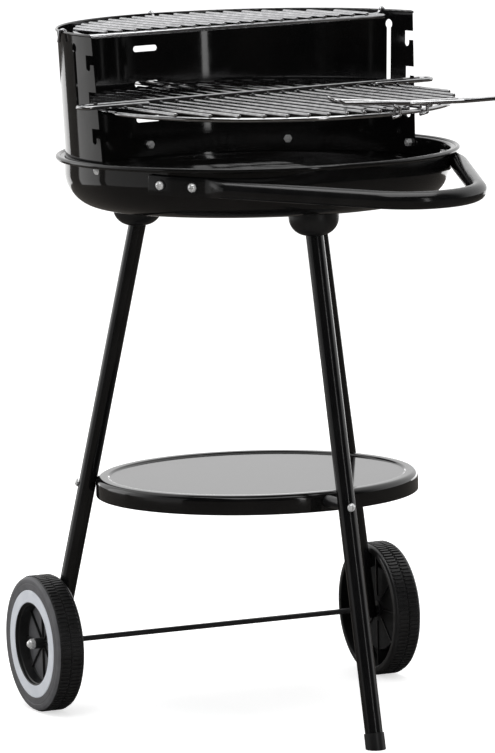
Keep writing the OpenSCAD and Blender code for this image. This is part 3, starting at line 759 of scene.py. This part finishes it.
@dataclass
class Rack:
    """Half-round warming rack that hangs from the top edge of the windshield.

    inside is the radius of the hooks' inner legs and arch the bend over the edge. The corner values
    shape the two bends between the round back and the straight front.
    """

    head: Head
    turn: float = -3.0
    radius: float = 193.741
    front: float = 33.0
    height: float = 748.0
    frame_d: float = 5.0
    bar_d: float = 4.0
    pitch: float = 18.6
    side_bars: int = 9
    hook_angles: tuple[float, ...] = (16.5, 90.0, 163.5)
    inside: float = 209.122
    arch_r: float = 4.5
    arch_z: float = 751.8
    tail: float = 10.0
    hook_bend: float = 2.4
    corner_turn: float = 2.4
    corner_out: float = 0.6
    corner_in: float = 4.0
    corner_up: float = 2.5

    def rim(self, shape: bmesh.types.BMesh) -> None:
        """Adds the rim wire: a straight front and a round back.

        Args:
            shape: The mesh to add to.
        """
        corner = math.degrees(math.atan2(self.front, math.sqrt(self.radius ** 2 - self.front ** 2)))
        start = corner + self.corner_turn
        line = arc(0, 0, self.radius, start, 180 - corner - self.corner_turn, 90)
        half = line[0][0]
        right = [(half - self.corner_in, self.front), (half + self.corner_out, self.front + self.corner_up)]
        line += [(-x, y) for x, y in reversed(right)] + [(0, self.front)] + right
        swept(shape, [Vector((x, y, self.height)) for x, y in line], self.frame_d, FRAME_SIDES, loop=True)

    def bars(self, shape: bmesh.types.BMesh) -> None:
        """Adds the bars, welded onto the rim.

        Args:
            shape: The mesh to add to.
        """
        z = self.height + (self.frame_d + self.bar_d) / 2 - WELD
        for i in range(-self.side_bars, self.side_bars + 1):
            x = i * self.pitch
            back = math.sqrt(self.radius ** 2 - x ** 2) + OVERHANG
            swept(shape, [Vector((x, self.front - OVERHANG, z)), Vector((x, (self.front + back) / 2, z)),
                          Vector((x, back, z))], self.bar_d)

    def hooks(self, shape: bmesh.types.BMesh) -> None:
        """Adds the hooks over the windshield's top edge.

        Args:
            shape: The mesh to add to.
        """
        middle = self.inside + self.arch_r
        for angle in self.hook_angles:
            over = [Vector((r, 0, z)) for r, z in arc(middle, self.arch_z, self.arch_r, 180, 0, 10)]
            corners = [Vector((self.radius, 0, self.height)), Vector((self.inside, 0, self.height)), *over,
                       Vector((middle + self.arch_r, 0, self.arch_z - self.tail))]
            turn = Matrix.Rotation(math.radians(angle), 4, "Z")
            swept(shape, [turn @ p for p in filleted(corners, self.hook_bend)], self.bar_d)

    def build(self, bench: Bench) -> None:
        """Adds the rack.

        Args:
            bench: Where pieces are made.
        """
        shape = bmesh.new()
        self.rim(shape)
        self.bars(shape)
        self.hooks(shape)
        bmesh.ops.transform(shape, verts=shape.verts,
                            matrix=self.head.matrix() @ Matrix.Rotation(math.radians(self.turn), 4, "Z"))
        bmesh.ops.recalc_face_normals(shape, faces=shape.faces)
        bench.finish("rack_wires", shape, Slot.CHROME, "rack", WIRE_CREASE, ["warming_rack"])


@dataclass
class PushHandle:
    """Bent tube handle whose ends are pressed flat against the bowl.

    flat_c is the flat's radius and tube_c the tube's distance from the middle, flat_in and flat_out
    how many degrees the flat runs before and after the tube's direction, and flat_power how round
    the flat's edges are.
    """

    head: Head
    below_rim: float = 18.0
    droop: float = 3.5
    lean: float = 0.7
    turn: float = 1.0
    spread: float = 32.0
    tube_d: float = 19.0
    flat_t: float = 4.0
    flat_h: float = 21.0
    flat_c: float = 211.1
    tube_c: float = 213.4
    bend: float = 78.0
    blend_run: float = 50.0
    flat_in: float = 11.5
    flat_out: float = 6.0
    flat_power: float = 0.6

    def matrix(self) -> Matrix:
        """Works out the handle's frame.

        Returns:
            The frame, at the height of the handle's bolts.
        """
        attach = self.flat_c * math.sin(math.radians(self.spread))
        tilt = (Matrix.Rotation(math.radians(-self.lean), 4, "Y")
                @ Matrix.Rotation(math.radians(self.droop), 4, "X"))
        return (self.head.matrix() @ Matrix.Rotation(math.radians(self.turn), 4, "Z")
                @ Matrix.Translation((0, -attach, self.head.rim_z - self.below_rim))
                @ tilt @ Matrix.Translation((0, attach, 0)))

    def stations(self) -> tuple[Path, list[float]]:
        """Works out the tube's path and how round it is along it.

        Returns:
            The points, and at each one 0 where the tube is flat and 1 where it is round.
        """
        tangent = 180 + self.spread
        turn = Matrix.Rotation(math.radians(tangent), 4, "Z")
        line: Path = []
        round_: list[float] = []
        for x, y in arc(0, 0, self.flat_c, tangent - self.flat_in, tangent + self.flat_out, 12):
            line.append(Vector((x, y, 0)))
            round_.append(0.0)
        start = turn.inverted() @ line[-1]
        steps = 16
        for i in range(1, steps + 1):
            t = i / steps
            ease = t * t * (3 - 2 * t)
            y = start.y + (self.blend_run - start.y) * t
            line.append(turn @ Vector((start.x + (self.tube_c - start.x) * ease, y, 0)))
            round_.append(ease)
        bend_y = (self.tube_c - self.bend) / math.sin(math.radians(self.spread))
        straight = bend_y * math.cos(math.radians(self.spread))
        for i in range(1, 9):
            y = self.blend_run + (straight - self.blend_run) * i / 8
            line.append(turn @ Vector((self.tube_c, y, 0)))
            round_.append(1.0)
        for x, y in arc(0, -bend_y, self.bend, tangent, 270, 24)[1:]:
            line.append(Vector((x, y, 0)))
            round_.append(1.0)
        line += [Vector((-p.x, p.y, 0)) for p in reversed(line[:-1])]
        round_ += list(reversed(round_[:-1]))
        return line, round_

    def build(self, bench: Bench) -> None:
        """Adds the handle.

        Args:
            bench: Where pieces are made.
        """
        line, round_ = self.stations()
        ends = len(END_TURNS) + 1
        shares = round_[:1] * ends + round_[1:-1] + round_[-1:] * ends

        def section(index: int, turn: float) -> tuple[float, float]:
            """Point of the section: a pressed, round-edged flat that opens into the tube.

            Args:
                index: The station's place on the path.
                turn: The point's turn around the path.

            Returns:
                The point.
            """
            share = shares[min(index, len(shares) - 1)]
            c, s = math.cos(turn), math.sin(turn)
            flat_x = self.flat_h / 2 * math.copysign(abs(c) ** self.flat_power, c)
            flat_y = self.flat_t / 2 * math.copysign(abs(s) ** self.flat_power, s)
            tube = self.tube_d / 2
            return flat_x + (tube * c - flat_x) * share, flat_y + (tube * s - flat_y) * share

        shape = bmesh.new()
        swept(shape, line, self.tube_d, TUBE_SIDES, section=section)
        bmesh.ops.transform(shape, verts=shape.verts, matrix=self.matrix())
        bmesh.ops.recalc_face_normals(shape, faces=shape.faces)
        bench.finish("push_handle_tube", shape, Slot.SATIN_PAINT, "stand", TUBE_CREASE, ["push_handle"])


@dataclass
class Shelf:
    """Round pressed shelf with a shallow tray and a turned-down skirt.

    rim is the tray's distance from the edge and dish its depth. foot, brow and hem are the roundings
    at the bottom and top of the tray's wall and at the skirt's lower edge, and under_out and under_in
    where the wall's lower side bends, counted from the tray's edge.
    """

    centre_y: float = 21.868
    radius: float = 175.796
    top: float = 261.5
    skirt: float = 20.5
    wall: float = 1.0
    rounding: float = 6.0
    rim: float = 14.0
    dish: float = 2.0
    foot_in: float = 2.2
    foot_r: float = 1.8
    brow_out: float = 1.4
    brow_r: float = 2.0
    under_out: float = 1.0
    under_in: float = 1.6
    flat_in: float = 6.0
    middle: float = 0.5
    hem_r: float = 0.5
    hem_start: float = 0.6

    def build(self, bench: Bench) -> None:
        """Spins the shelf and adds it.

        Args:
            bench: Where pieces are made.
        """
        tray = self.radius - self.rim
        low = self.top - self.dish
        inner = self.radius - self.wall
        under = low - self.wall
        corner_r, corner_z = self.radius - self.rounding, self.top - self.rounding
        foot = self.top - self.skirt
        outline: Profile = [(0.0, low), (tray * self.middle, low), (tray - self.flat_in, low)]
        outline += arc(tray - self.foot_in, low + self.foot_r, self.foot_r, -90, -35, 4)
        outline += arc(tray + self.brow_out, self.top - self.brow_r, self.brow_r, 145, 90, 4)
        outline += arc(corner_r, corner_z, self.rounding, 90, 0, 12)
        outline += [(self.radius, foot + self.hem_start)]
        outline += arc(self.radius - self.hem_r, foot + self.hem_r, self.hem_r, 0, -180, 6)
        outline += [(inner, corner_z)]
        outline += arc(corner_r, corner_z, self.rounding - self.wall, 0, 90, 8)[1:]
        outline += [(tray + self.under_out, self.top - self.wall), (tray - self.under_in, under)]
        outline += [(tray * self.middle, under), (0.0, under)]
        shape = bmesh.new()
        turned(shape, outline, SHEET_STEPS, closed=False)
        bmesh.ops.translate(shape, verts=shape.verts, vec=(0, self.centre_y, 0))
        bench.finish("shelf_pan", shape, Slot.ENAMEL, "stand", SPUN_CREASE, ["shelf"])


@dataclass
class Wheel:
    """Moulded wheel: ribbed tread, recessed face with thin ribs, open back.

    Depths count from the face inwards. seat_in and seat_out are how far the walls of the trim's seat
    lie outside the lip and the trim, from the top down and from the bottom up, and seat_rim how deep
    they start. groove is the one between the tread's rows, line the fine one on the sidewall, and
    bite how deep a rib sinks into what it stands on. Faces down to lit_depth outside the trim, and
    those of the web between web_ends, counted from the hub and from the lip, are painted lighter as
    painted light, and the hollow back is painted darker as painted shade.
    """

    side: Side
    face_x: float = 221.164
    axle_y: float = 142.364
    axle_z: float = 75.0
    radius: float = 75.0
    width: float = 31.5
    tread_t: float = 9.0
    tread_depth: float = 1.3
    tread_taper: float = 0.2
    recess_depth: float = 15.0
    recess_r: float = 44.5
    web_t: float = 2.4
    trim_r: float = 59.4
    trim_sink: float = 1.2
    trim_low: float = 0.05
    trim_high: float = 0.3
    trim_in: float = 1.4
    trim_edges: tuple[float, float] = (0.4, 0.6)
    rib_count: int = 8
    rib_t: float = 1.3
    rib_h: float = 2.5
    hub_r: float = 5.8
    hub_out: float = 3.0
    bore_r: float = 3.08
    teeth: int = 96
    lip_step: float = 1.3
    lip_z: float = 4.6
    lip_edge: float = 0.3
    lip_band: tuple[float, float] = (3.2, 1.6)
    mouth_r: float = 1.0
    hub_edge: float = 0.6
    web_r: float = 1.5
    seat_in: tuple[float, float] = (1.15, 1.25)
    seat_out: tuple[float, float, float] = (0.3, 0.45, 0.9)
    seat_rim: tuple[float, float] = (0.05, 0.3)
    tyre_r: float = 3.4
    row_in: float = 4.0
    groove_z: float = 15.0
    groove_w: tuple[float, float] = (0.5, 0.2)
    groove_depth: float = 0.7
    line_r: float = 66.6
    line_w: float = 0.6
    line_depth: float = 0.35
    back_edge: float = 0.8
    web_edge: float = 1.0
    bite: float = 0.5
    back_rib_r: float = 14.0
    lit_depth: float = 2.4
    web_ends: tuple[float, float] = (2.0, 3.0)
    web_leeway: float = 0.6
    back_tilt: float = 0.3

    def matrix(self) -> Matrix:
        """Returns the wheel's frame: Z points outwards from its face."""
        return (Matrix.Translation((self.side.value * self.face_x, self.axle_y, self.axle_z))
                @ Matrix.Rotation(math.radians(90 * self.side.value), 4, "Y"))

    def outline(self) -> Profile:
        """Works out the section of the wheel, without its ribs.

        Returns:
            Radius and height of each point.
        """
        base = self.radius - self.tread_depth
        inner = self.radius - self.tread_t
        deep = self.recess_depth + self.web_t
        lip = self.recess_r
        back = -self.width
        seat = -self.web_t - self.trim_sink
        wall = lip - self.lip_step
        far, near = self.groove_w
        line: Profile = [(self.bore_r, -self.hub_out), (self.hub_r - self.hub_edge, -self.hub_out)]
        line += [(self.hub_r, -self.hub_out - self.hub_edge), (self.hub_r, -self.recess_depth + self.web_r)]
        line += [(self.hub_r + self.web_r, -self.recess_depth), (wall - self.web_r, -self.recess_depth)]
        line += arc(wall - self.web_r, -self.recess_depth + self.web_r, self.web_r, -90, 0, 4)[1:]
        line += [(wall, -self.lip_z)]
        line += arc(lip - self.lip_edge, -self.lip_z, self.lip_step - self.lip_edge, 180, 90, 4)[1:]
        line += [(lip, -z) for z in self.lip_band]
        line += arc(lip + self.mouth_r, -self.mouth_r, self.mouth_r, 180, 90, 4)
        line += [(lip + r, -z) for r, z in zip(self.seat_in, (self.seat_rim[0], self.trim_sink))]
        depths = (self.trim_sink, self.seat_rim[1], 0.0)
        line += [(self.trim_r + r, -z) for r, z in zip(self.seat_out, depths)]
        line += [(self.line_r - self.line_w, 0.0)]
        line += [(self.line_r, -self.line_depth), (self.line_r + self.line_w, 0.0)]
        line += arc(base - self.tyre_r, -self.tyre_r, self.tyre_r, 90, 0, 6)
        line += [(base, -self.row_in), (base, far - self.groove_z)]
        line += [(base - self.groove_depth, near - self.groove_z)]
        line += [(base - self.groove_depth, -near - self.groove_z)]
        line += [(base, -far - self.groove_z), (base, back + self.row_in)]
        line += arc(base - self.tyre_r, back + self.tyre_r, self.tyre_r, 0, -90, 6)
        line += [(inner + self.back_edge, back), (inner, back + self.back_edge)]
        line += [(inner, seat - self.web_edge), (inner - self.web_edge, seat)]
        line += [(lip + self.web_t + self.web_edge, seat), (lip + self.web_t, seat - self.web_edge)]
        line += [(lip + self.web_t, -deep), (self.bore_r, -deep)]
        return line

    def tread(self, shape: bmesh.types.BMesh) -> None:
        """Raises two rows of blocks around the tread, half a block apart.

        Args:
            shape: The wheel's mesh.
        """
        base = self.radius - self.tread_depth
        half = self.groove_w[0]
        bands = ((half - self.groove_z, -self.row_in), (self.row_in - self.width, -half - self.groove_z))
        rows: tuple[list[bmesh.types.BMFace], ...] = ([], [])
        step = math.tau / (2 * self.teeth)
        for face in shape.faces:
            middle = face.calc_center_median()
            reach = math.hypot(middle.x, middle.y)
            if abs(reach - base) > TOUCH or abs(face.normal.z) > TOUCH:
                continue
            place = round(math.atan2(middle.y, middle.x) / step - 0.5) % 2
            for row, (low, high) in enumerate(bands):
                if low < middle.z < high and place == row:
                    rows[row].append(face)
        for faces in rows:
            grown = bmesh.ops.extrude_discrete_faces(shape, faces=faces)["faces"]
            for face in grown:
                middle = face.calc_center_median()
                push = Vector((middle.x, middle.y, 0)).normalized() * self.tread_depth
                bmesh.ops.translate(shape, verts=face.verts, vec=push)
                for vert in face.verts:
                    vert.co += (middle + push - vert.co) * self.tread_taper

    def paint_light_and_shade(self, shape: bmesh.types.BMesh) -> None:
        """Paints the sidewall and the recess's floor lighter as painted light, and the hollow back dull and
        darker as painted shade.

        Args:
            shape: The wheel's mesh.
        """
        for face in shape.faces:
            middle = face.calc_center_median()
            reach = math.hypot(middle.x, middle.y)
            wall = middle.z > -self.lit_depth and reach > self.trim_r + 2 * TOUCH
            web = (abs(middle.z + self.recess_depth) < self.web_leeway
                   and self.hub_r + self.web_ends[0] < reach < self.recess_r - self.web_ends[1])
            back = middle.z < -self.recess_depth - self.web_edge and face.normal.z < self.back_tilt
            # Painted light on the sidewall and the web, painted shade on the hollow back
            if wall or web:
                face.material_index = LIT_FACE_TONE
            elif back and reach < self.radius - self.tread_t + 2 * TOUCH:
                face.material_index = SHADED_BACK_TONE

    def ribs(self, shape: bmesh.types.BMesh) -> None:
        """Adds the ribs on the face of the web and behind it.

        Args:
            shape: The wheel's mesh.
        """
        deep = self.recess_depth + self.web_t
        lip = self.recess_r
        web, bite = self.recess_depth, self.bite
        spans = ((self.hub_r - 2 * bite, lip + bite, -web - 2 * bite, self.rib_h - web),
                 (self.back_rib_r, lip + 3 * bite, -deep - 3 * bite, -deep + 2 * bite),
                 (lip + 2 * bite, self.radius - self.tread_t + bite, -deep - 3 * bite,
                  -self.web_t - self.trim_sink - bite))
        for i in range(self.rib_count):
            turn = Matrix.Rotation(math.tau * i / self.rib_count, 4, "Z")
            for near, far, low, high in spans:
                made = bmesh.ops.create_cube(shape, size=1.0)["verts"]
                bmesh.ops.transform(shape, verts=made, matrix=turn
                                    @ Matrix.Translation(((near + far) / 2, 0, (low + high) / 2))
                                    @ Matrix.Diagonal((far - near, self.rib_t, high - low, 1)))

    def trim(self, bench: Bench, body: str) -> None:
        """Adds the white trim ring, set into the face.

        Args:
            bench: Where pieces are made.
            body: The CAD body that it rides on.
        """
        low, high = self.trim_low - self.trim_sink, self.trim_high
        near, far = self.recess_r + self.trim_in, self.trim_r
        inner, outer = self.trim_edges
        outline: Profile = [(near, low), (near, high - inner), (near + inner, high), (far - outer, high),
                            (far, high - outer), (far, low)]
        shape = bmesh.new()
        turned(shape, outline, TRIM_STEPS)
        bmesh.ops.transform(shape, verts=shape.verts, matrix=self.matrix())
        name = self.side.name.lower()
        bench.finish(f"trim_ring_{name}", shape, Slot.TRIM, body, SPUN_CREASE, [f"wheel_trim_{name}"])

    def build(self, bench: Bench) -> None:
        """Adds the wheel and its trim.

        Args:
            bench: Where pieces are made.
        """
        name = self.side.name.lower()
        body = f"{name}_wheel"
        shape = bmesh.new()
        turned(shape, self.outline(), 2 * self.teeth)
        self.tread(shape)
        self.paint_light_and_shade(shape)
        self.ribs(shape)
        bmesh.ops.transform(shape, verts=shape.verts, matrix=self.matrix())
        bench.finish(f"moulded_wheel_{name}", shape, Slot.WHEEL, body, MOULD_CREASE, [f"wheel_{name}"],
                     (Slot.WHEEL, WHEEL_LIT_FACE, WHEEL_SHADED_BACK))
        self.trim(bench, body)


# ---------- what stays from the CAD frame ----------

CAD_FINISHES = {
    "windshield": Slot.ENAMEL,
    "windshield_bolts": Slot.ZINC,
    "windshield_nuts": Slot.ZINC,
    "handle_bolts": Slot.ZINC,
    "handle_washers": Slot.PLASTIC,
    "handle_nuts": Slot.ZINC,
    "socket_front": Slot.PLASTIC,
    "socket_left": Slot.PLASTIC,
    "socket_right": Slot.PLASTIC,
    "socket_bolts": Slot.ZINC,
    "socket_nuts": Slot.ZINC,
    "leg_front": Slot.GLOSS_PAINT,
    "leg_left": Slot.GLOSS_PAINT,
    "leg_right": Slot.GLOSS_PAINT,
    "front_foot": Slot.PLASTIC,
    "shelf_spacer": Slot.PLASTIC,
    "shelf_bolts": Slot.ZINC,
    "shelf_nuts": Slot.ZINC,
    "axle": Slot.AXLE,
    "axle_caps": Slot.ZINC,
    "axle_washers": Slot.AXLE,
}


# ---------- studio ----------


@dataclass(frozen=True)
class Lamp:
    """Soft rectangular lamp.

    azimuth is its direction in degrees, 0 in front and positive to the right, elevation its height
    in degrees, distance how far it is from its aim in metres, size its width and height in metres
    and power its watts.
    """

    name: str
    azimuth: float
    elevation: float
    distance: float
    size: tuple[float, float]
    power: float


# The two rear cards are low, so that the grill's sides mirror them and the shelf's top doesn't
LAMPS = (
    Lamp("top_soft", -10, 78, 2.6, (2.4, 2.4), 44),
    Lamp("front_left", -102, 6, 2.4, (2.1, 2.0), 5),
    Lamp("left_card", -143, 6, 2.4, (1.05, 2.0), 5.5),
    Lamp("left_edge", -190, -4, 2.9, (1.77, 0.5), 3.75),
    Lamp("right_edge", 133, -4, 2.9, (1.9, 0.5), 6.25),
    Lamp("right_strip", 6, 8, 3.0, (0.2, 2.4), 5),
)


@dataclass
class Studio:
    """Plain pale floor, soft studio light and the camera.

    sight is how far the camera sees, paper_mirrored the floor's colour in reflections, paper_lift
    the light it gives to the camera, fill the even light of the surroundings, dim what they show in
    reflections in front, and fade where that changes to white behind.
    """

    azimuth: float = -25.29
    elevation: float = 7.49
    roll: float = -1.39
    distance: float = 6.6277
    lens: float = 291.98
    aim_x: float = -0.01697
    aim_z: float = 0.36955
    sensor: float = 36.0
    sight: float = 60.0
    floor_r: float = 14.0
    paper: tuple[float, float, float] = (0.86, 0.86, 0.86)
    paper_mirrored: tuple[float, float, float] = (0.11, 0.1, 0.09)
    paper_rough: float = 0.9
    paper_shine: float = 0.1
    paper_lift: float = 0.62
    fill: float = 0.62
    dim: float = 0.008
    fade: tuple[float, float] = (-0.25, 0.35)
    lamp_aim: float = 0.4

    def camera(self) -> None:
        """Adds the camera at the viewing angle."""
        a, e, r = (math.radians(v) for v in (self.azimuth, self.elevation, self.roll))
        back = Vector((math.sin(a) * math.cos(e), -math.cos(a) * math.cos(e), math.sin(e)))
        right = Vector((math.cos(a), math.sin(a), 0))
        up = back.cross(right)
        x_axis = right * math.cos(r) + up * math.sin(r)
        y_axis = up * math.cos(r) - right * math.sin(r)
        target = Vector((0, 0, self.aim_z)) + right * self.aim_x
        turn = Matrix((x_axis, y_axis, back)).transposed().to_4x4()
        data = bpy.data.cameras.new("camera")
        data.sensor_fit = "VERTICAL"
        data.sensor_height = self.sensor
        data.lens = self.lens
        data.clip_end = self.sight
        camera = bpy.data.objects.new("camera", data)
        camera.matrix_world = Matrix.Translation(target + back * self.distance) @ turn
        bpy.context.scene.collection.objects.link(camera)
        bpy.context.scene.camera = camera

    def floor(self) -> None:
        """Adds the pale floor."""
        shape = bmesh.new()
        bmesh.ops.create_circle(shape, cap_ends=True, segments=FLOOR_STEPS, radius=self.floor_r)
        mesh = bpy.data.meshes.new("floor")
        shape.to_mesh(mesh)
        shape.free()
        floor = bpy.data.objects.new("floor", mesh)
        bpy.context.scene.collection.objects.link(floor)
        material = bpy.data.materials.new("floor_paper")
        material.use_nodes = True
        nodes, links = material.node_tree.nodes, material.node_tree.links
        shader = nodes["Principled BSDF"]
        shader.inputs["Roughness"].default_value = self.paper_rough
        shader.inputs["Specular IOR Level"].default_value = self.paper_shine
        rays = nodes.new("ShaderNodeLightPath")
        paper = nodes.new("ShaderNodeMix")
        paper.data_type = "RGBA"
        paper.inputs["A"].default_value = (*self.paper, 1)
        paper.inputs["B"].default_value = (*self.paper_mirrored, 1)
        links.new(rays.outputs["Is Glossy Ray"], paper.inputs["Factor"])
        links.new(paper.outputs["Result"], shader.inputs["Base Color"])
        lift = nodes.new("ShaderNodeMath")
        lift.operation = "MULTIPLY"
        lift.inputs[1].default_value = self.paper_lift
        links.new(rays.outputs["Is Camera Ray"], lift.inputs[0])
        shader.inputs["Emission Color"].default_value = (1, 1, 1, 1)
        links.new(lift.outputs["Value"], shader.inputs["Emission Strength"])
        mesh.materials.append(material)

    def world(self) -> None:
        """Lights the surroundings: white behind, dim in front where only glossy rays look."""
        world = bpy.data.worlds.new("studio")
        bpy.context.scene.world = world
        world.use_nodes = True
        nodes, links = world.node_tree.nodes, world.node_tree.links
        background = nodes["Background"]
        background.inputs["Color"].default_value = (1, 1, 1, 1)
        place = nodes.new("ShaderNodeTexCoord")
        away = nodes.new("ShaderNodeVectorMath")
        away.operation = "DOT_PRODUCT"
        a = math.radians(self.azimuth)
        away.inputs[1].default_value = (-math.sin(a), math.cos(a), 0)
        links.new(place.outputs["Generated"], away.inputs[0])
        ramp = nodes.new("ShaderNodeMapRange")
        ramp.interpolation_type = "SMOOTHSTEP"
        ramp.inputs["From Min"].default_value = self.fade[0]
        ramp.inputs["From Max"].default_value = self.fade[1]
        ramp.inputs["To Min"].default_value = self.dim
        ramp.inputs["To Max"].default_value = 1.0
        links.new(away.outputs["Value"], ramp.inputs["Value"])
        rays = nodes.new("ShaderNodeLightPath")
        soft = nodes.new("ShaderNodeMix")
        soft.data_type = "FLOAT"
        soft.inputs["A"].default_value = self.fill
        links.new(rays.outputs["Is Glossy Ray"], soft.inputs["Factor"])
        links.new(ramp.outputs["Result"], soft.inputs["B"])
        seen = nodes.new("ShaderNodeMix")
        seen.data_type = "FLOAT"
        seen.inputs["B"].default_value = 1.0
        links.new(rays.outputs["Is Camera Ray"], seen.inputs["Factor"])
        links.new(soft.outputs["Result"], seen.inputs["A"])
        links.new(seen.outputs["Result"], background.inputs["Strength"])

    def lamp(self, card: Lamp) -> None:
        """Adds a soft rectangular lamp that faces the grill.

        Args:
            card: The lamp's place, size and power.
        """
        data = bpy.data.lights.new(card.name, "AREA")
        data.shape = "RECTANGLE"
        data.size, data.size_y = card.size
        data.energy = card.power
        a, e = math.radians(card.azimuth), math.radians(card.elevation)
        back = Vector((math.sin(a) * math.cos(e), -math.cos(a) * math.cos(e), math.sin(e)))
        lamp = bpy.data.objects.new(card.name, data)
        turn = back.to_track_quat("Z", "Y").to_matrix().to_4x4()
        lamp.matrix_world = Matrix.Translation(Vector((0, 0, self.lamp_aim)) + back * card.distance) @ turn
        bpy.context.scene.collection.objects.link(lamp)

    def build(self) -> None:
        """Sets up the camera, the floor, the surroundings and the lamps."""
        self.camera()
        self.floor()
        self.world()
        for card in LAMPS:
            self.lamp(card)
        bpy.context.scene.view_settings.view_transform = "Standard"


def main() -> None:
    """Builds the grill's pieces in order."""
    logging.basicConfig(level=logging.INFO, format="%(name)s: %(message)s")
    Studio().build()
    bench = Bench(Paints(FINISHES))
    head = Head()
    grate = Grate(head)
    for part in (Bowl(head), grate, GrateHandle(grate), Rack(head), PushHandle(head), Shelf(),
                 Wheel(Side.LEFT), Wheel(Side.RIGHT)):
        part.build(bench)
    for node, slot in CAD_FINISHES.items():
        bench.dress(node, slot)


if __name__ == "__main__":
    main()
